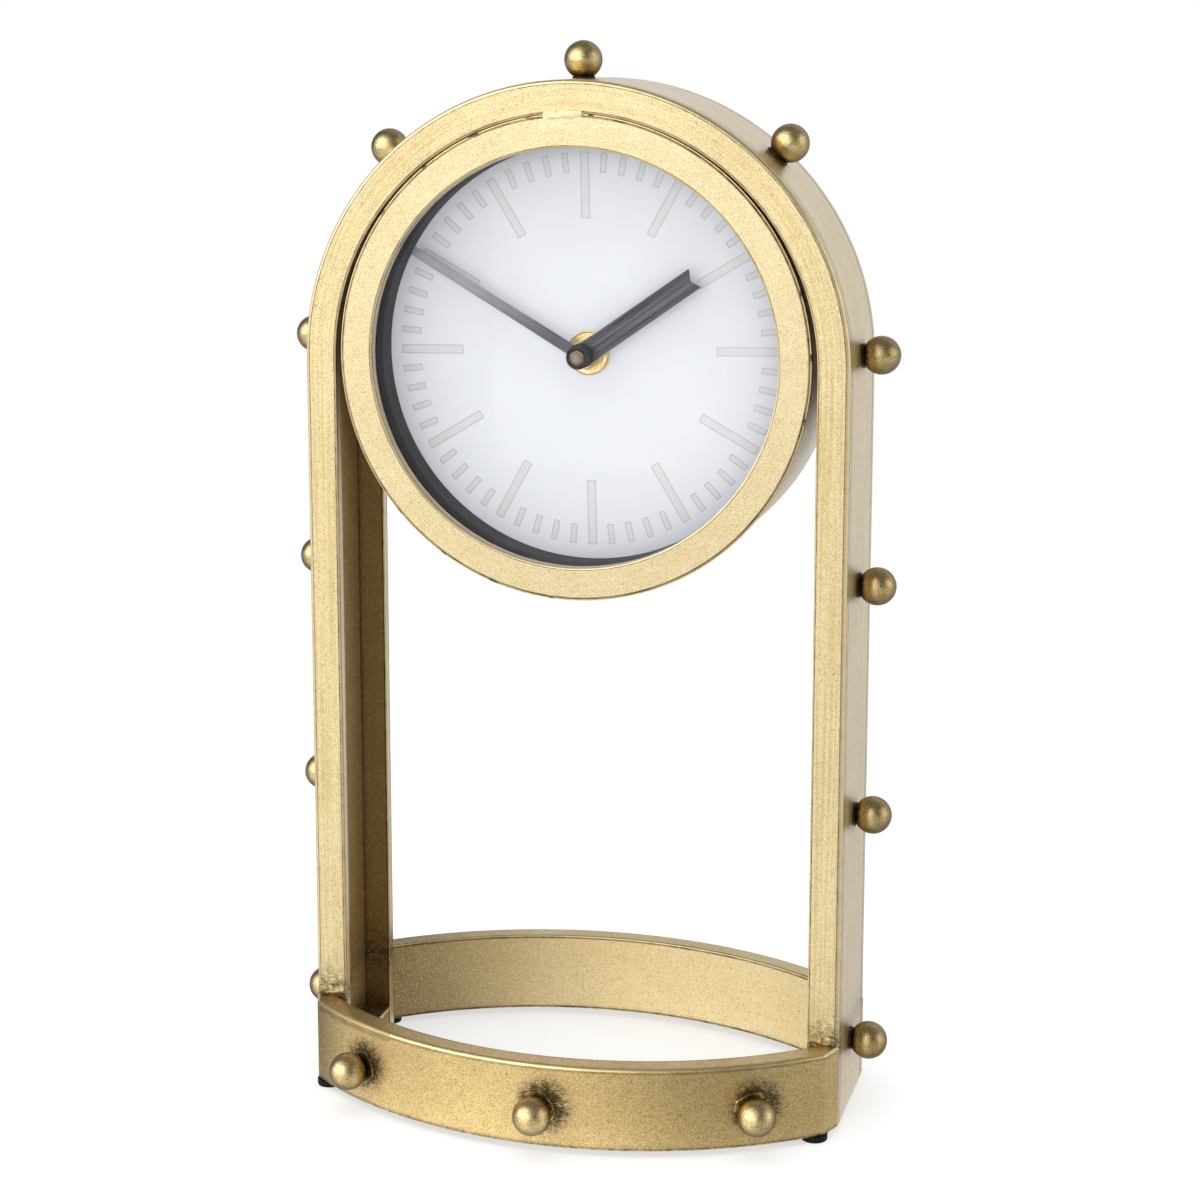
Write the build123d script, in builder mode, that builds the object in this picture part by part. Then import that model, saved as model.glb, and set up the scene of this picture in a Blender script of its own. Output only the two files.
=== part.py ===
"""Table clock: a round drum clock welded into a tall arch of brass-finished plate, on an open lens-shaped base.

X runs to the viewer's right, Y to the back and Z up. The origin is on the table, under the middle of the base.
Angles on the dial side are measured from +X towards +Z. All sizes are in millimetres.
"""

from build123d import *
from math import asin, cos, degrees, pi, radians, sin, sqrt
import os

os.makedirs("parts", exist_ok=True)

# Arch: two flat plates with a web strip between them, open on the inside
arch_radius = 105.0
leg_height = 287.0
flange_width = 12.2
plate_thickness = 5.0
web_thickness = 2.0
frame_depth = 55.0
outer_edge_break = 1.2
inner_edge_break = 0.5
foot_plate_height = 9.0
foot_plate_thickness = 2.0
foot_plate_clearance = 0.1

# Base: two arc bands that end against the legs
band_height = 32.0
band_thickness = 9.0
base_half_depth = 73.8
band_corner_depth = 5.7
band_end_inset = 3.8
band_end_reach = 10.0
band_edge_break = 1.4
weld_bead = 1.6

# Rubber pads
pad_thickness = 2.5
pad_radius = 5.0
pad_inset = 7.5
pad_setback = 7.0

# Ball studs: a ball on a flat foot, faceted because there are many of them
stud_radius = 7.2
stud_seat = 6.9
stud_sides = 16
stud_rows = 8
arch_stud_angles = (2.3, 46.9, 91.3, 135.4, 177.0)
leg_stud_shares = (0.712, 0.402, 0.087)
band_stud_height_share = 0.45
band_stud_turn_share = 0.7

# Drum: a front ring that nearly fills the arch, and a shell that is open at the back
drum_lift = 1.9
drum_slot = 2.5
ring_width = 11.9
ring_step = 0.5
ring_edge_break = 0.8
drum_depth = 62.0
shell_thickness = 2.0
tab_width = 12.0
tab_reach = 5.0
tab_thickness = 1.5
tab_angles = (45.0, 135.0, 225.0, 315.0)
bridge_angle = 91.85
bridge_half_angle = 4.85
bridge_setback = 0.7

# Glass and dial
seat_clearance = 0.3
glass_thickness = 2.0
gasket_depth = 7.5
gasket_lip = 0.3
spacer_depth = 11.5
spacer_step = 0.7
board_thickness = 3.4

# Movement case: its outside and its battery bay follow from the battery
case_wall = 1.2
case_corner = 1.5
case_cover_thickness = 1.4
bay_clearance = 0.7

# Centre bush, its washer and nut
bush_radius = 4.0
bush_reach = 8.4
bush_hole_clearance = 0.1
washer_radius = 8.5
washer_thickness = 0.8
bush_nut_flats = 11.0
bush_nut_height = 2.5

# Motion work: the minute pinion drives the setting wheel, whose pinion drives the hour wheel
minute_pinion_teeth = 10
setting_wheel_teeth = 30
setting_pinion_teeth = 8
hour_wheel_teeth = 32
gear_module = 0.48
addendum_share = 0.82
dedendum_share = 1.18
tooth_tip_share = 0.11
tooth_root_share = 0.29
wheel_thickness = 1.0
layer_gap = 0.4
running_clearance = 0.05
minute_arbor_radius = 1.6
hour_pipe_wall = 0.85
setting_arbor_radius = 0.9
setting_angle = 30.0
knob_radius = 5.5
knob_height = 3.0
knob_ridges = 18
knob_ridge_depth = 0.5

# Train plate, circuit board and coil
train_plate_thickness = 1.0
pivot_reach = 0.5
circuit_thickness = 0.8
circuit_width = 20.0
circuit_height = 11.0
coil_length = 16.0
coil_flange = 6.4
coil_flange_thickness = 0.8
coil_winding_radius = 2.6

# Battery and its contacts
battery_radius = 7.2
battery_length = 49.5
battery_button_radius = 2.7
battery_button_height = 1.0
battery_clearance = 0.2
battery_proud = 0.4
contact_clearance = 0.65
contact_thickness = 0.4
contact_width = 9.0
contact_hump = 5.0
contact_taper = 30.0

# Hands, set to ten minutes to two
clock_hour = 1
clock_minute = 50
hand_thickness = 0.6
hour_hand_length = 53.0
hour_hand_width = 8.4
hour_collar_radius = 4.1
hour_collar_height = 2.6
hand_notch = 2.2
minute_tip_gap = 1.8
minute_hand_width = 4.4
minute_tip_width = 3.4
minute_eye_radius = 4.6
minute_collar_radius = 3.9
minute_collar_height = 5.5
hour_hand_rise = 8.6
hand_gap = 0.7
hand_nut_flats = 4.8
hand_nut_height = 1.0
hand_nut_bore = 1.35
arbor_tip_recess = 0.4

overrun = 1.0

# Levels and radii that follow from the sizes above
front_face = -frame_depth / 2
rear_face = frame_depth / 2
arch_bore = arch_radius - flange_width
web_bore = arch_radius - web_thickness
arch_centre_height = pad_thickness + leg_height
dial_centre_height = arch_centre_height + drum_lift
band_top = pad_thickness + band_height
band_rise = base_half_depth + front_face - band_corner_depth
band_arc_radius = (arch_radius**2 + band_rise**2) / (2 * band_rise)
band_bore = band_arc_radius - band_thickness
band_centre = band_arc_radius - base_half_depth
ring_radius = arch_bore - drum_slot
ring_opening = ring_radius - ring_width
shell_radius = ring_radius - ring_step
shell_bore = shell_radius - shell_thickness
insert_radius = shell_bore - seat_clearance
gasket_bore = ring_opening + gasket_lip
spacer_bore = gasket_bore + spacer_step
ring_back = front_face + plate_thickness
glass_back = ring_back + glass_thickness
gasket_back = glass_back + gasket_depth
dial_face = gasket_back + spacer_depth
board_back = dial_face + board_thickness
drum_back = front_face + drum_depth
inside_half = battery_length / 2 + battery_button_height + contact_clearance + contact_thickness
case_size = 2 * (inside_half + case_wall)
case_depth = case_wall + battery_clearance + 2 * battery_radius - battery_proud
case_back = board_back + case_depth
case_inside = board_back + case_wall
minute_hand_length = ring_opening - minute_tip_gap
hour_pipe_bore = minute_arbor_radius + running_clearance
hour_pipe_radius = hour_pipe_bore + hour_pipe_wall
bush_bore = hour_pipe_radius + running_clearance


def depth_plane(y):
    """The plane that faces the front at depth y, with X to the right and Z up."""
    return Plane.XZ.offset(-y)


def hub_plane(y):
    """The same plane, with its origin on the hands' axis."""
    return Plane((0, y, dial_centre_height), x_dir=(1, 0, 0), z_dir=(0, -1, 0))


def arch_outline(outer, inner):
    """An upside-down U: a half circle on two straight legs that reach down to the pads."""
    height = arch_centre_height - pad_thickness
    middle = pad_thickness + height / 2
    with Locations((0, arch_centre_height)):
        Circle(outer)
    with Locations((0, middle)):
        Rectangle(2 * outer, height)
    with Locations((0, arch_centre_height)):
        Circle(inner, mode=Mode.SUBTRACT)
    with Locations((0, middle)):
        Rectangle(2 * inner, height, mode=Mode.SUBTRACT)


def edges_at_radius(face, radius):
    """The arch edges of a face that lie at this radius: the half circle, and the leg lines below it."""
    near = radius / 1000
    arcs = face.edges().filter_by(GeomType.CIRCLE).filter_by(lambda e: abs(e.radius - radius) < near)
    lines = face.edges().filter_by(Axis.Z).filter_by(lambda e: abs(abs(e.center().X) - radius) < near)
    return arcs + lines


# Arch plates: the outer edges are ground back, the inner ones only eased
with BuildPart() as arch_front_plate:
    with BuildSketch(depth_plane(ring_back)):
        arch_outline(arch_radius, arch_bore)
    extrude(amount=plate_thickness)
    front = arch_front_plate.faces().sort_by(Axis.Y)[0]
    chamfer(edges_at_radius(front, arch_radius), length=outer_edge_break)
    front = arch_front_plate.faces().sort_by(Axis.Y)[0]
    chamfer(edges_at_radius(front, arch_bore), length=inner_edge_break)
arch_front_plate.part.label = "arch_front_plate"
export_step(arch_front_plate.part, "parts/arch_front_plate.step")

with BuildPart() as arch_rear_plate:
    add(arch_front_plate.part)
    mirror(about=Plane.XZ, mode=Mode.REPLACE)
arch_rear_plate.part.label = "arch_rear_plate"
export_step(arch_rear_plate.part, "parts/arch_rear_plate.step")

with BuildPart() as arch_web:
    with BuildSketch(depth_plane(rear_face - plate_thickness)):
        arch_outline(arch_radius, web_bore)
    extrude(amount=frame_depth - 2 * plate_thickness)
arch_web.part.label = "arch_web"
export_step(arch_web.part, "parts/arch_web.step")

# Foot plates close the bottom of each leg's channel
foot_plate_width = flange_width - web_thickness - foot_plate_clearance
foot_plate_depth = frame_depth - 2 * plate_thickness - 2 * foot_plate_clearance
foot_plate_reach = arch_bore + foot_plate_width / 2
foot_plate_base = pad_thickness + foot_plate_height - foot_plate_thickness
with BuildPart() as foot_plates:
    with BuildSketch(Plane.XY.offset(foot_plate_base)):
        with Locations((-foot_plate_reach, 0), (foot_plate_reach, 0)):
            Rectangle(foot_plate_width, foot_plate_depth)
    extrude(amount=foot_plate_thickness)
foot_plates.part.label = "foot_plates"
export_step(foot_plates.part, "parts/foot_plates.step")


def band_sketch():
    """The front band in plan: an arc strip, cut square to the leg's face and slanted at its ends."""
    reach = base_half_depth + overrun
    slant = band_end_inset * (reach + front_face) / band_end_reach
    with Locations((0, band_centre)):
        Circle(band_arc_radius)
        Circle(band_bore, mode=Mode.SUBTRACT)
    with BuildLine(mode=Mode.PRIVATE) as limits:
        Polyline(
            (-arch_radius, front_face),
            (arch_radius, front_face),
            (arch_radius - slant, -reach),
            (-arch_radius + slant, -reach),
            close=True,
        )
    make_face(limits.edges(), mode=Mode.INTERSECT)


with BuildPart() as base_front_band:
    with BuildSketch(Plane.XY.offset(pad_thickness)):
        band_sketch()
    extrude(amount=band_height)
    crown = base_front_band.faces().sort_by(Axis.Z)[-1]
    chamfer(crown.edges().filter_by(GeomType.CIRCLE).sort_by(SortBy.RADIUS)[-1], length=band_edge_break)
base_front_band.part.label = "base_front_band"
export_step(base_front_band.part, "parts/base_front_band.step")

with BuildPart() as base_rear_band:
    add(base_front_band.part)
    mirror(about=Plane.XZ, mode=Mode.REPLACE)
base_rear_band.part.label = "base_rear_band"
export_step(base_rear_band.part, "parts/base_rear_band.step")

# Weld beads where the arch plates stand behind the bands' top edges
bead_face = sqrt(band_bore**2 - (band_centre - front_face) ** 2)
bead_length = arch_radius - outer_edge_break - bead_face
with BuildPart() as foot_welds:
    with BuildSketch(Plane.YZ.offset(bead_face)):
        with BuildLine():
            toe = (front_face - weld_bead, band_top)
            top = (front_face, band_top + weld_bead)
            Polyline(toe, (front_face, band_top), top)
            RadiusArc(top, toe, -2 * weld_bead)
        make_face()
    extrude(amount=bead_length)
    mirror(about=Plane.YZ)
    mirror(about=Plane.XZ)
foot_welds.part.label = "foot_welds"
export_step(foot_welds.part, "parts/foot_welds.step")

# Rubber pads under the bands' ends
pad_x = arch_radius - pad_inset
pad_y = rear_face + pad_setback
with BuildPart() as rubber_pads:
    with BuildSketch():
        with Locations((pad_x, pad_y), (-pad_x, pad_y), (pad_x, -pad_y), (-pad_x, -pad_y)):
            Circle(pad_radius)
    extrude(amount=pad_thickness)
rubber_pads.part.label = "rubber_pads"
export_step(rubber_pads.part, "parts/rubber_pads.step")

# Ball studs: each ball is cut flat where it is welded on
stud_points = []
foot_latitude = -asin(stud_seat / stud_radius)
for row in range(stud_rows):
    latitude = foot_latitude + (pi / 2 - foot_latitude) * row / stud_rows
    for side in range(stud_sides):
        longitude = 2 * pi * side / stud_sides
        spread = stud_radius * cos(latitude)
        stud_points.append((spread * cos(longitude), spread * sin(longitude), stud_radius * sin(latitude)))
stud_points.append((0, 0, stud_radius))


def stud_place(foot, way):
    """The plane at the centre of a ball whose flat foot stands on a surface at this point."""
    return Plane(foot + way * stud_seat, z_dir=way)


with BuildPart() as arch_studs:
    places = []
    for angle in arch_stud_angles:
        way = Vector(cos(radians(angle)), 0, sin(radians(angle)))
        places.append(stud_place(Vector(0, 0, arch_centre_height) + way * arch_radius, way))
    for share in leg_stud_shares:
        for side in (-1, 1):
            foot = Vector(side * arch_radius, 0, pad_thickness + share * leg_height)
            places.append(stud_place(foot, Vector(side, 0, 0)))
    with Locations(*places):
        ConvexPolyhedron(stud_points)
arch_studs.part.label = "arch_studs"
export_step(arch_studs.part, "parts/arch_studs.step")

band_half_angle = degrees(asin(arch_radius / band_arc_radius))
with BuildPart() as front_studs:
    places = []
    for step in (-1, 0, 1):
        turn = radians(step * band_stud_turn_share * band_half_angle)
        way = Vector(sin(turn), -cos(turn), 0)
        middle = Vector(0, band_centre, pad_thickness + band_stud_height_share * band_height)
        places.append(stud_place(middle + way * band_arc_radius, way))
    with Locations(*places):
        ConvexPolyhedron(stud_points)
front_studs.part.label = "front_studs"
export_step(front_studs.part, "parts/front_studs.step")

with BuildPart() as rear_studs:
    add(front_studs.part)
    mirror(about=Plane.XZ, mode=Mode.REPLACE)
rear_studs.part.label = "rear_studs"
export_step(rear_studs.part, "parts/rear_studs.step")

# Drum front ring, flush with the arch's face
with BuildPart() as front_ring:
    with BuildSketch(hub_plane(ring_back)):
        Circle(ring_radius)
        Circle(ring_opening, mode=Mode.SUBTRACT)
    extrude(amount=plate_thickness)
    chamfer(front_ring.faces().sort_by(Axis.Y)[0].edges(), length=ring_edge_break)
front_ring.part.label = "front_ring"
export_step(front_ring.part, "parts/front_ring.step")

# Drum shell, open at the back
with BuildPart() as drum_shell:
    with BuildSketch(hub_plane(drum_back)):
        Circle(shell_radius)
        Circle(shell_bore, mode=Mode.SUBTRACT)
    extrude(amount=drum_back - ring_back)
drum_shell.part.label = "drum_shell"
export_step(drum_shell.part, "parts/drum_shell.step")

# Tabs welded inside the shell, which hold the dial board from behind
tab_seat = sqrt(shell_bore**2 - (tab_width / 2) ** 2)
with BuildPart() as board_tabs:
    with BuildSketch(hub_plane(board_back + tab_thickness)):
        with PolarLocations(tab_seat - tab_reach / 2, len(tab_angles), start_angle=tab_angles[0]):
            Rectangle(tab_reach, tab_width)
    extrude(amount=tab_thickness)
board_tabs.part.label = "board_tabs"
export_step(board_tabs.part, "parts/board_tabs.step")


def bridge_sketch(outer, inner):
    """A sector of a ring round the hub, which the arch's curved edge then trims."""
    with BuildLine(mode=Mode.PRIVATE) as sector:
        start = bridge_angle - bridge_half_angle
        first = CenterArc((0, 0), inner, start, 2 * bridge_half_angle)
        second = CenterArc((0, 0), outer, start, 2 * bridge_half_angle)
        Line(first @ 0, second @ 0)
        Line(first @ 1, second @ 1)
    make_face(sector.edges())
    with Locations((0, -drum_lift)):
        Circle(arch_bore, mode=Mode.INTERSECT)


# Welded bridges that hang the drum in the arch, front and rear
with BuildPart() as front_bridge:
    with BuildSketch(hub_plane(ring_back)):
        bridge_sketch(arch_bore + overrun, ring_radius)
    extrude(amount=plate_thickness - bridge_setback)
front_bridge.part.label = "front_bridge"
export_step(front_bridge.part, "parts/front_bridge.step")

with BuildPart() as rear_bridge:
    with BuildSketch(hub_plane(rear_face)):
        bridge_sketch(arch_bore + overrun, shell_radius)
    extrude(amount=plate_thickness)
rear_bridge.part.label = "rear_bridge"
export_step(rear_bridge.part, "parts/rear_bridge.step")


def disc_stack(front, back, outer, inner=None):
    """A disc or ring round the hub, from one depth to another."""
    with BuildSketch(hub_plane(back), mode=Mode.PRIVATE) as disc:
        Circle(outer)
        if inner is not None:
            Circle(inner, mode=Mode.SUBTRACT)
    extrude(disc.sketch, amount=back - front)


# Glass, gasket, spacer and dial board, stacked behind the ring
with BuildPart() as glass:
    disc_stack(ring_back, glass_back, insert_radius)
glass.part.label = "glass"
export_step(glass.part, "parts/glass.step")

with BuildPart() as glass_gasket:
    disc_stack(glass_back, gasket_back, insert_radius, gasket_bore)
glass_gasket.part.label = "glass_gasket"
export_step(glass_gasket.part, "parts/glass_gasket.step")

with BuildPart() as dial_spacer:
    disc_stack(gasket_back, dial_face, insert_radius, spacer_bore)
dial_spacer.part.label = "dial_spacer"
export_step(dial_spacer.part, "parts/dial_spacer.step")

with BuildPart() as dial_board:
    disc_stack(dial_face, board_back, insert_radius, bush_radius + bush_hole_clearance)
dial_board.part.label = "dial_board"
export_step(dial_board.part, "parts/dial_board.step")

# Movement case: an open box with a battery bay along its lower edge
bay_room = 2 * battery_radius + bay_clearance
bay_top = case_wall + bay_room - inside_half
gear_room = inside_half - bay_top
gear_distance = gear_module * (minute_pinion_teeth + setting_wheel_teeth) / 2
hour_module = 2 * gear_distance / (setting_pinion_teeth + hour_wheel_teeth)
setting_x = gear_distance * cos(radians(setting_angle))
setting_z = gear_distance * sin(radians(setting_angle))
hour_wheel_front = case_inside + layer_gap
hour_wheel_back = hour_wheel_front + wheel_thickness
setting_wheel_front = hour_wheel_back + layer_gap
setting_wheel_back = setting_wheel_front + wheel_thickness
train_plate_front = setting_wheel_back + layer_gap
train_plate_back = train_plate_front + train_plate_thickness
with BuildPart() as movement_case:
    with BuildSketch(hub_plane(case_back)):
        chamfer(Rectangle(case_size, case_size).vertices(), length=case_corner)
    extrude(amount=case_depth)
    with BuildSketch(hub_plane(case_back)):
        with Locations((0, bay_top + gear_room / 2)):
            Rectangle(2 * inside_half, gear_room)
        with Locations((0, bay_top - case_wall - bay_room / 2)):
            Rectangle(2 * inside_half, bay_room)
    extrude(amount=case_depth - case_wall, mode=Mode.SUBTRACT)
    with BuildSketch(hub_plane(case_inside)):
        Circle(bush_radius)
    extrude(amount=case_wall, mode=Mode.SUBTRACT)
    with BuildSketch(hub_plane(case_inside)):
        with Locations((setting_x, setting_z)):
            Circle(setting_arbor_radius + running_clearance)
    extrude(amount=case_wall / 2, mode=Mode.SUBTRACT)
movement_case.part.label = "movement_case"
export_step(movement_case.part, "parts/movement_case.step")

with BuildPart() as movement_cover:
    with BuildSketch(hub_plane(case_back + case_cover_thickness)):
        chamfer(Rectangle(case_size, case_size).vertices(), length=case_corner)
        with Locations((0, bay_top - case_wall - bay_room / 2)):
            Rectangle(2 * inside_half, bay_room, mode=Mode.SUBTRACT)
        with Locations((setting_x, setting_z)):
            Circle(setting_arbor_radius + running_clearance, mode=Mode.SUBTRACT)
    extrude(amount=case_cover_thickness)
movement_cover.part.label = "movement_cover"
export_step(movement_cover.part, "parts/movement_cover.step")

# Train plate: carries the back pivots of the motion work
with BuildPart() as train_plate:
    with BuildSketch(hub_plane(train_plate_back)):
        with Locations((0, bay_top + gear_room / 2)):
            Rectangle(2 * inside_half, gear_room)
        Circle(minute_arbor_radius + running_clearance, mode=Mode.SUBTRACT)
        with Locations((setting_x, setting_z)):
            Circle(setting_arbor_radius + running_clearance, mode=Mode.SUBTRACT)
    extrude(amount=train_plate_thickness)
train_plate.part.label = "train_plate"
export_step(train_plate.part, "parts/train_plate.step")

# Centre bush, brass washer and hexagon nut
bush_front = board_back - bush_reach
with BuildPart() as centre_bush:
    disc_stack(bush_front, case_inside, bush_radius, bush_bore)
centre_bush.part.label = "centre_bush"
export_step(centre_bush.part, "parts/centre_bush.step")

with BuildPart() as bush_washer:
    disc_stack(dial_face - washer_thickness, dial_face, washer_radius, bush_radius + bush_hole_clearance)
bush_washer.part.label = "bush_washer"
export_step(bush_washer.part, "parts/bush_washer.step")

nut_back = dial_face - washer_thickness
with BuildPart() as bush_nut:
    with BuildSketch(hub_plane(nut_back)):
        RegularPolygon(bush_nut_flats / 2, 6, major_radius=False)
        Circle(bush_radius, mode=Mode.SUBTRACT)
    extrude(amount=bush_nut_height)
bush_nut.part.label = "bush_nut"
export_step(bush_nut.part, "parts/bush_nut.step")


def gear_sketch(teeth, module, first_tooth):
    """A gear outline round the sketch's origin: straight-sided teeth, with first_tooth the angle of one tooth."""
    pitch = 360 / teeth
    tip = module * (teeth / 2 + addendum_share)
    root = module * (teeth / 2 - dedendum_share)
    points = []
    for tooth in range(teeth):
        middle = first_tooth + tooth * pitch
        for radius, share in (
            (root, -tooth_root_share),
            (tip, -tooth_tip_share),
            (tip, tooth_tip_share),
            (root, tooth_root_share),
        ):
            angle = radians(middle + share * pitch)
            points.append((radius * cos(angle), radius * sin(angle)))
    with BuildLine(mode=Mode.PRIVATE) as outline:
        Polyline(*points, close=True)
    make_face(outline.edges())


def meshed_tooth(first_tooth, first_teeth, second_teeth, way):
    """The angle of a tooth of the second gear that puts its gap on the first gear's tooth, along way."""
    along = (way - first_tooth) / (360 / first_teeth)
    return way + 180 + (along + 0.5) * 360 / second_teeth


# Hands' angles from +X, as on the dial
minute_angle = 90 - 6 * clock_minute
hour_angle = 90 - 30 * clock_hour - clock_minute / 2
hour_hand_back = dial_face - hour_hand_rise
hour_hand_front = hour_hand_back - hand_thickness
minute_hand_back = hour_hand_front - hand_gap
minute_hand_front = minute_hand_back - hand_thickness
minute_collar_front = minute_hand_front - minute_collar_height
hand_nut_front = minute_collar_front - hand_nut_height

# Minute arbor: runs from the train plate to the minute hand, and carries the minute pinion
with BuildPart() as minute_arbor:
    disc_stack(minute_collar_front, train_plate_back + pivot_reach, minute_arbor_radius)
    with BuildSketch(hub_plane(setting_wheel_back)):
        gear_sketch(minute_pinion_teeth, gear_module, minute_angle)
    extrude(amount=wheel_thickness)
    disc_stack(hand_nut_front + arbor_tip_recess, minute_collar_front, hand_nut_bore)
minute_arbor.part.label = "minute_arbor"
export_step(minute_arbor.part, "parts/minute_arbor.step")

# Hour wheel: the pipe runs on the minute arbor, inside the bush
hour_tooth = minute_angle
with BuildPart() as hour_wheel:
    with BuildSketch(hub_plane(hour_wheel_back)):
        gear_sketch(hour_wheel_teeth, hour_module, hour_tooth)
    extrude(amount=wheel_thickness)
    disc_stack(hour_hand_front, hour_wheel_back, hour_pipe_radius)
    with BuildSketch(hub_plane(hour_wheel_back)):
        Circle(hour_pipe_bore)
    extrude(amount=hour_wheel_back - hour_hand_front, mode=Mode.SUBTRACT)
hour_wheel.part.label = "hour_wheel"
export_step(hour_wheel.part, "parts/hour_wheel.step")

# Setting wheel and its pinion, on the arbor that carries the setting knob
setting_tooth = meshed_tooth(minute_angle, minute_pinion_teeth, setting_wheel_teeth, setting_angle)
pinion_tooth = meshed_tooth(hour_tooth, hour_wheel_teeth, setting_pinion_teeth, setting_angle)
cover_back = case_back + case_cover_thickness
knob_front = cover_back + layer_gap
setting_pivot_end = case_inside - case_wall / 2 + running_clearance
with BuildPart() as setting_wheel:
    setting_place = Plane((setting_x, 0, dial_centre_height + setting_z), x_dir=(1, 0, 0), z_dir=(0, -1, 0))
    with BuildSketch(setting_place.offset(-setting_wheel_back)):
        gear_sketch(setting_wheel_teeth, gear_module, setting_tooth)
    extrude(amount=wheel_thickness)
    with BuildSketch(setting_place.offset(-setting_wheel_front)):
        gear_sketch(setting_pinion_teeth, hour_module, pinion_tooth)
    extrude(amount=setting_wheel_front - hour_wheel_front)
    with BuildSketch(setting_place.offset(-(knob_front + knob_height / 2))):
        Circle(setting_arbor_radius)
    extrude(amount=knob_front + knob_height / 2 - setting_pivot_end)
setting_wheel.part.label = "setting_wheel"
export_step(setting_wheel.part, "parts/setting_wheel.step")

with BuildPart() as setting_knob:
    with BuildSketch(setting_place.offset(-(knob_front + knob_height))):
        knob_points = []
        for point in range(2 * knob_ridges):
            turn = pi * point / knob_ridges
            reach = knob_radius - knob_ridge_depth * (point % 2)
            knob_points.append((reach * cos(turn), reach * sin(turn)))
        with BuildLine():
            Polyline(*knob_points, close=True)
        make_face()
    extrude(amount=knob_height)
    with BuildSketch(setting_place.offset(-(knob_front + knob_height / 2))):
        Circle(setting_arbor_radius)
    extrude(amount=knob_height / 2, mode=Mode.SUBTRACT)
setting_knob.part.label = "setting_knob"
export_step(setting_knob.part, "parts/setting_knob.step")

# Hour hand: a wide flat bar, notched at its tip, with its collar behind it
with BuildPart() as hour_hand:
    with BuildSketch(hub_plane(hour_hand_back)):
        with BuildLine(mode=Mode.PRIVATE) as hour_outline:
            Polyline(
                (0, hour_hand_width / 2),
                (hour_hand_length, hour_hand_width / 2),
                (hour_hand_length - hand_notch, 0),
                (hour_hand_length, -hour_hand_width / 2),
                (0, -hour_hand_width / 2),
                close=True,
            )
        with Locations(Location((0, 0, 0), (0, 0, hour_angle))):
            add(make_face(hour_outline.edges(), mode=Mode.PRIVATE))
        Circle(hour_hand_width / 2)
    extrude(amount=hand_thickness)
    disc_stack(hour_hand_back, hour_hand_back + hour_collar_height, hour_collar_radius)
    with BuildSketch(hub_plane(hour_hand_back + hour_collar_height)):
        Circle(hour_pipe_radius)
    extrude(amount=hour_collar_height + hand_thickness, mode=Mode.SUBTRACT)
hour_hand.part.label = "hour_hand"
export_step(hour_hand.part, "parts/hour_hand.step")

# Minute hand: a narrow bar that tapers a little, with a round eye and its collar in front
with BuildPart() as minute_hand:
    with BuildSketch(hub_plane(minute_hand_back)):
        with BuildLine(mode=Mode.PRIVATE) as minute_outline:
            Polyline(
                (0, minute_hand_width / 2),
                (minute_hand_length, minute_tip_width / 2),
                (minute_hand_length, -minute_tip_width / 2),
                (0, -minute_hand_width / 2),
                close=True,
            )
        with Locations(Location((0, 0, 0), (0, 0, minute_angle))):
            add(make_face(minute_outline.edges(), mode=Mode.PRIVATE))
        Circle(minute_eye_radius)
    extrude(amount=hand_thickness)
    disc_stack(minute_collar_front, minute_hand_front, minute_collar_radius)
    with BuildSketch(hub_plane(minute_hand_back)):
        Circle(minute_arbor_radius)
    extrude(amount=minute_collar_height + hand_thickness, mode=Mode.SUBTRACT)
minute_hand.part.label = "minute_hand"
export_step(minute_hand.part, "parts/minute_hand.step")

with BuildPart() as hand_nut:
    with BuildSketch(hub_plane(minute_collar_front)):
        RegularPolygon(hand_nut_flats / 2, 6, major_radius=False)
        Circle(hand_nut_bore, mode=Mode.SUBTRACT)
    extrude(amount=hand_nut_height)
hand_nut.part.label = "hand_nut"
export_step(hand_nut.part, "parts/hand_nut.step")

# Battery, lying along the bay
battery_end = battery_length / 2
battery_y = case_inside + battery_radius + battery_clearance
battery_z = dial_centre_height - inside_half + battery_radius + battery_clearance


def bay_plane(x):
    """The plane across the battery bay at x, centred on the cell."""
    return Plane((x, battery_y, battery_z), x_dir=(0, 1, 0), z_dir=(1, 0, 0))


with BuildPart() as battery:
    with BuildSketch(bay_plane(-battery_end)):
        Circle(battery_radius)
    extrude(amount=battery_length)
    with BuildSketch(bay_plane(battery_end)):
        Circle(battery_button_radius)
    extrude(amount=battery_button_height)
battery.part.label = "battery"
export_step(battery.part, "parts/battery.step")

# Contacts: leaf springs against the bay's end walls, the negative one humped towards the cell
contact_height = battery_radius * 2

with BuildPart() as positive_contact:
    with BuildSketch(bay_plane(inside_half - contact_thickness)):
        Rectangle(contact_width, contact_height)
    extrude(amount=contact_thickness)
positive_contact.part.label = "positive_contact"
export_step(positive_contact.part, "parts/positive_contact.step")

with BuildPart() as negative_contact:
    with BuildSketch(bay_plane(-inside_half)):
        Rectangle(contact_width, contact_height)
    extrude(amount=contact_thickness)
    with BuildSketch(bay_plane(-inside_half + contact_thickness)):
        Rectangle(contact_hump, contact_hump)
    extrude(amount=inside_half - contact_thickness - battery_end, taper=contact_taper)
negative_contact.part.label = "negative_contact"
export_step(negative_contact.part, "parts/negative_contact.step")

# Circuit board and coil, on the back of the train plate
with BuildPart() as circuit_board:
    with BuildSketch(hub_plane(train_plate_back + circuit_thickness)):
        with Locations((-inside_half + circuit_width / 2, inside_half - circuit_height / 2)):
            Rectangle(circuit_width, circuit_height)
    extrude(amount=circuit_thickness)
circuit_board.part.label = "circuit_board"
export_step(circuit_board.part, "parts/circuit_board.step")

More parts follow.
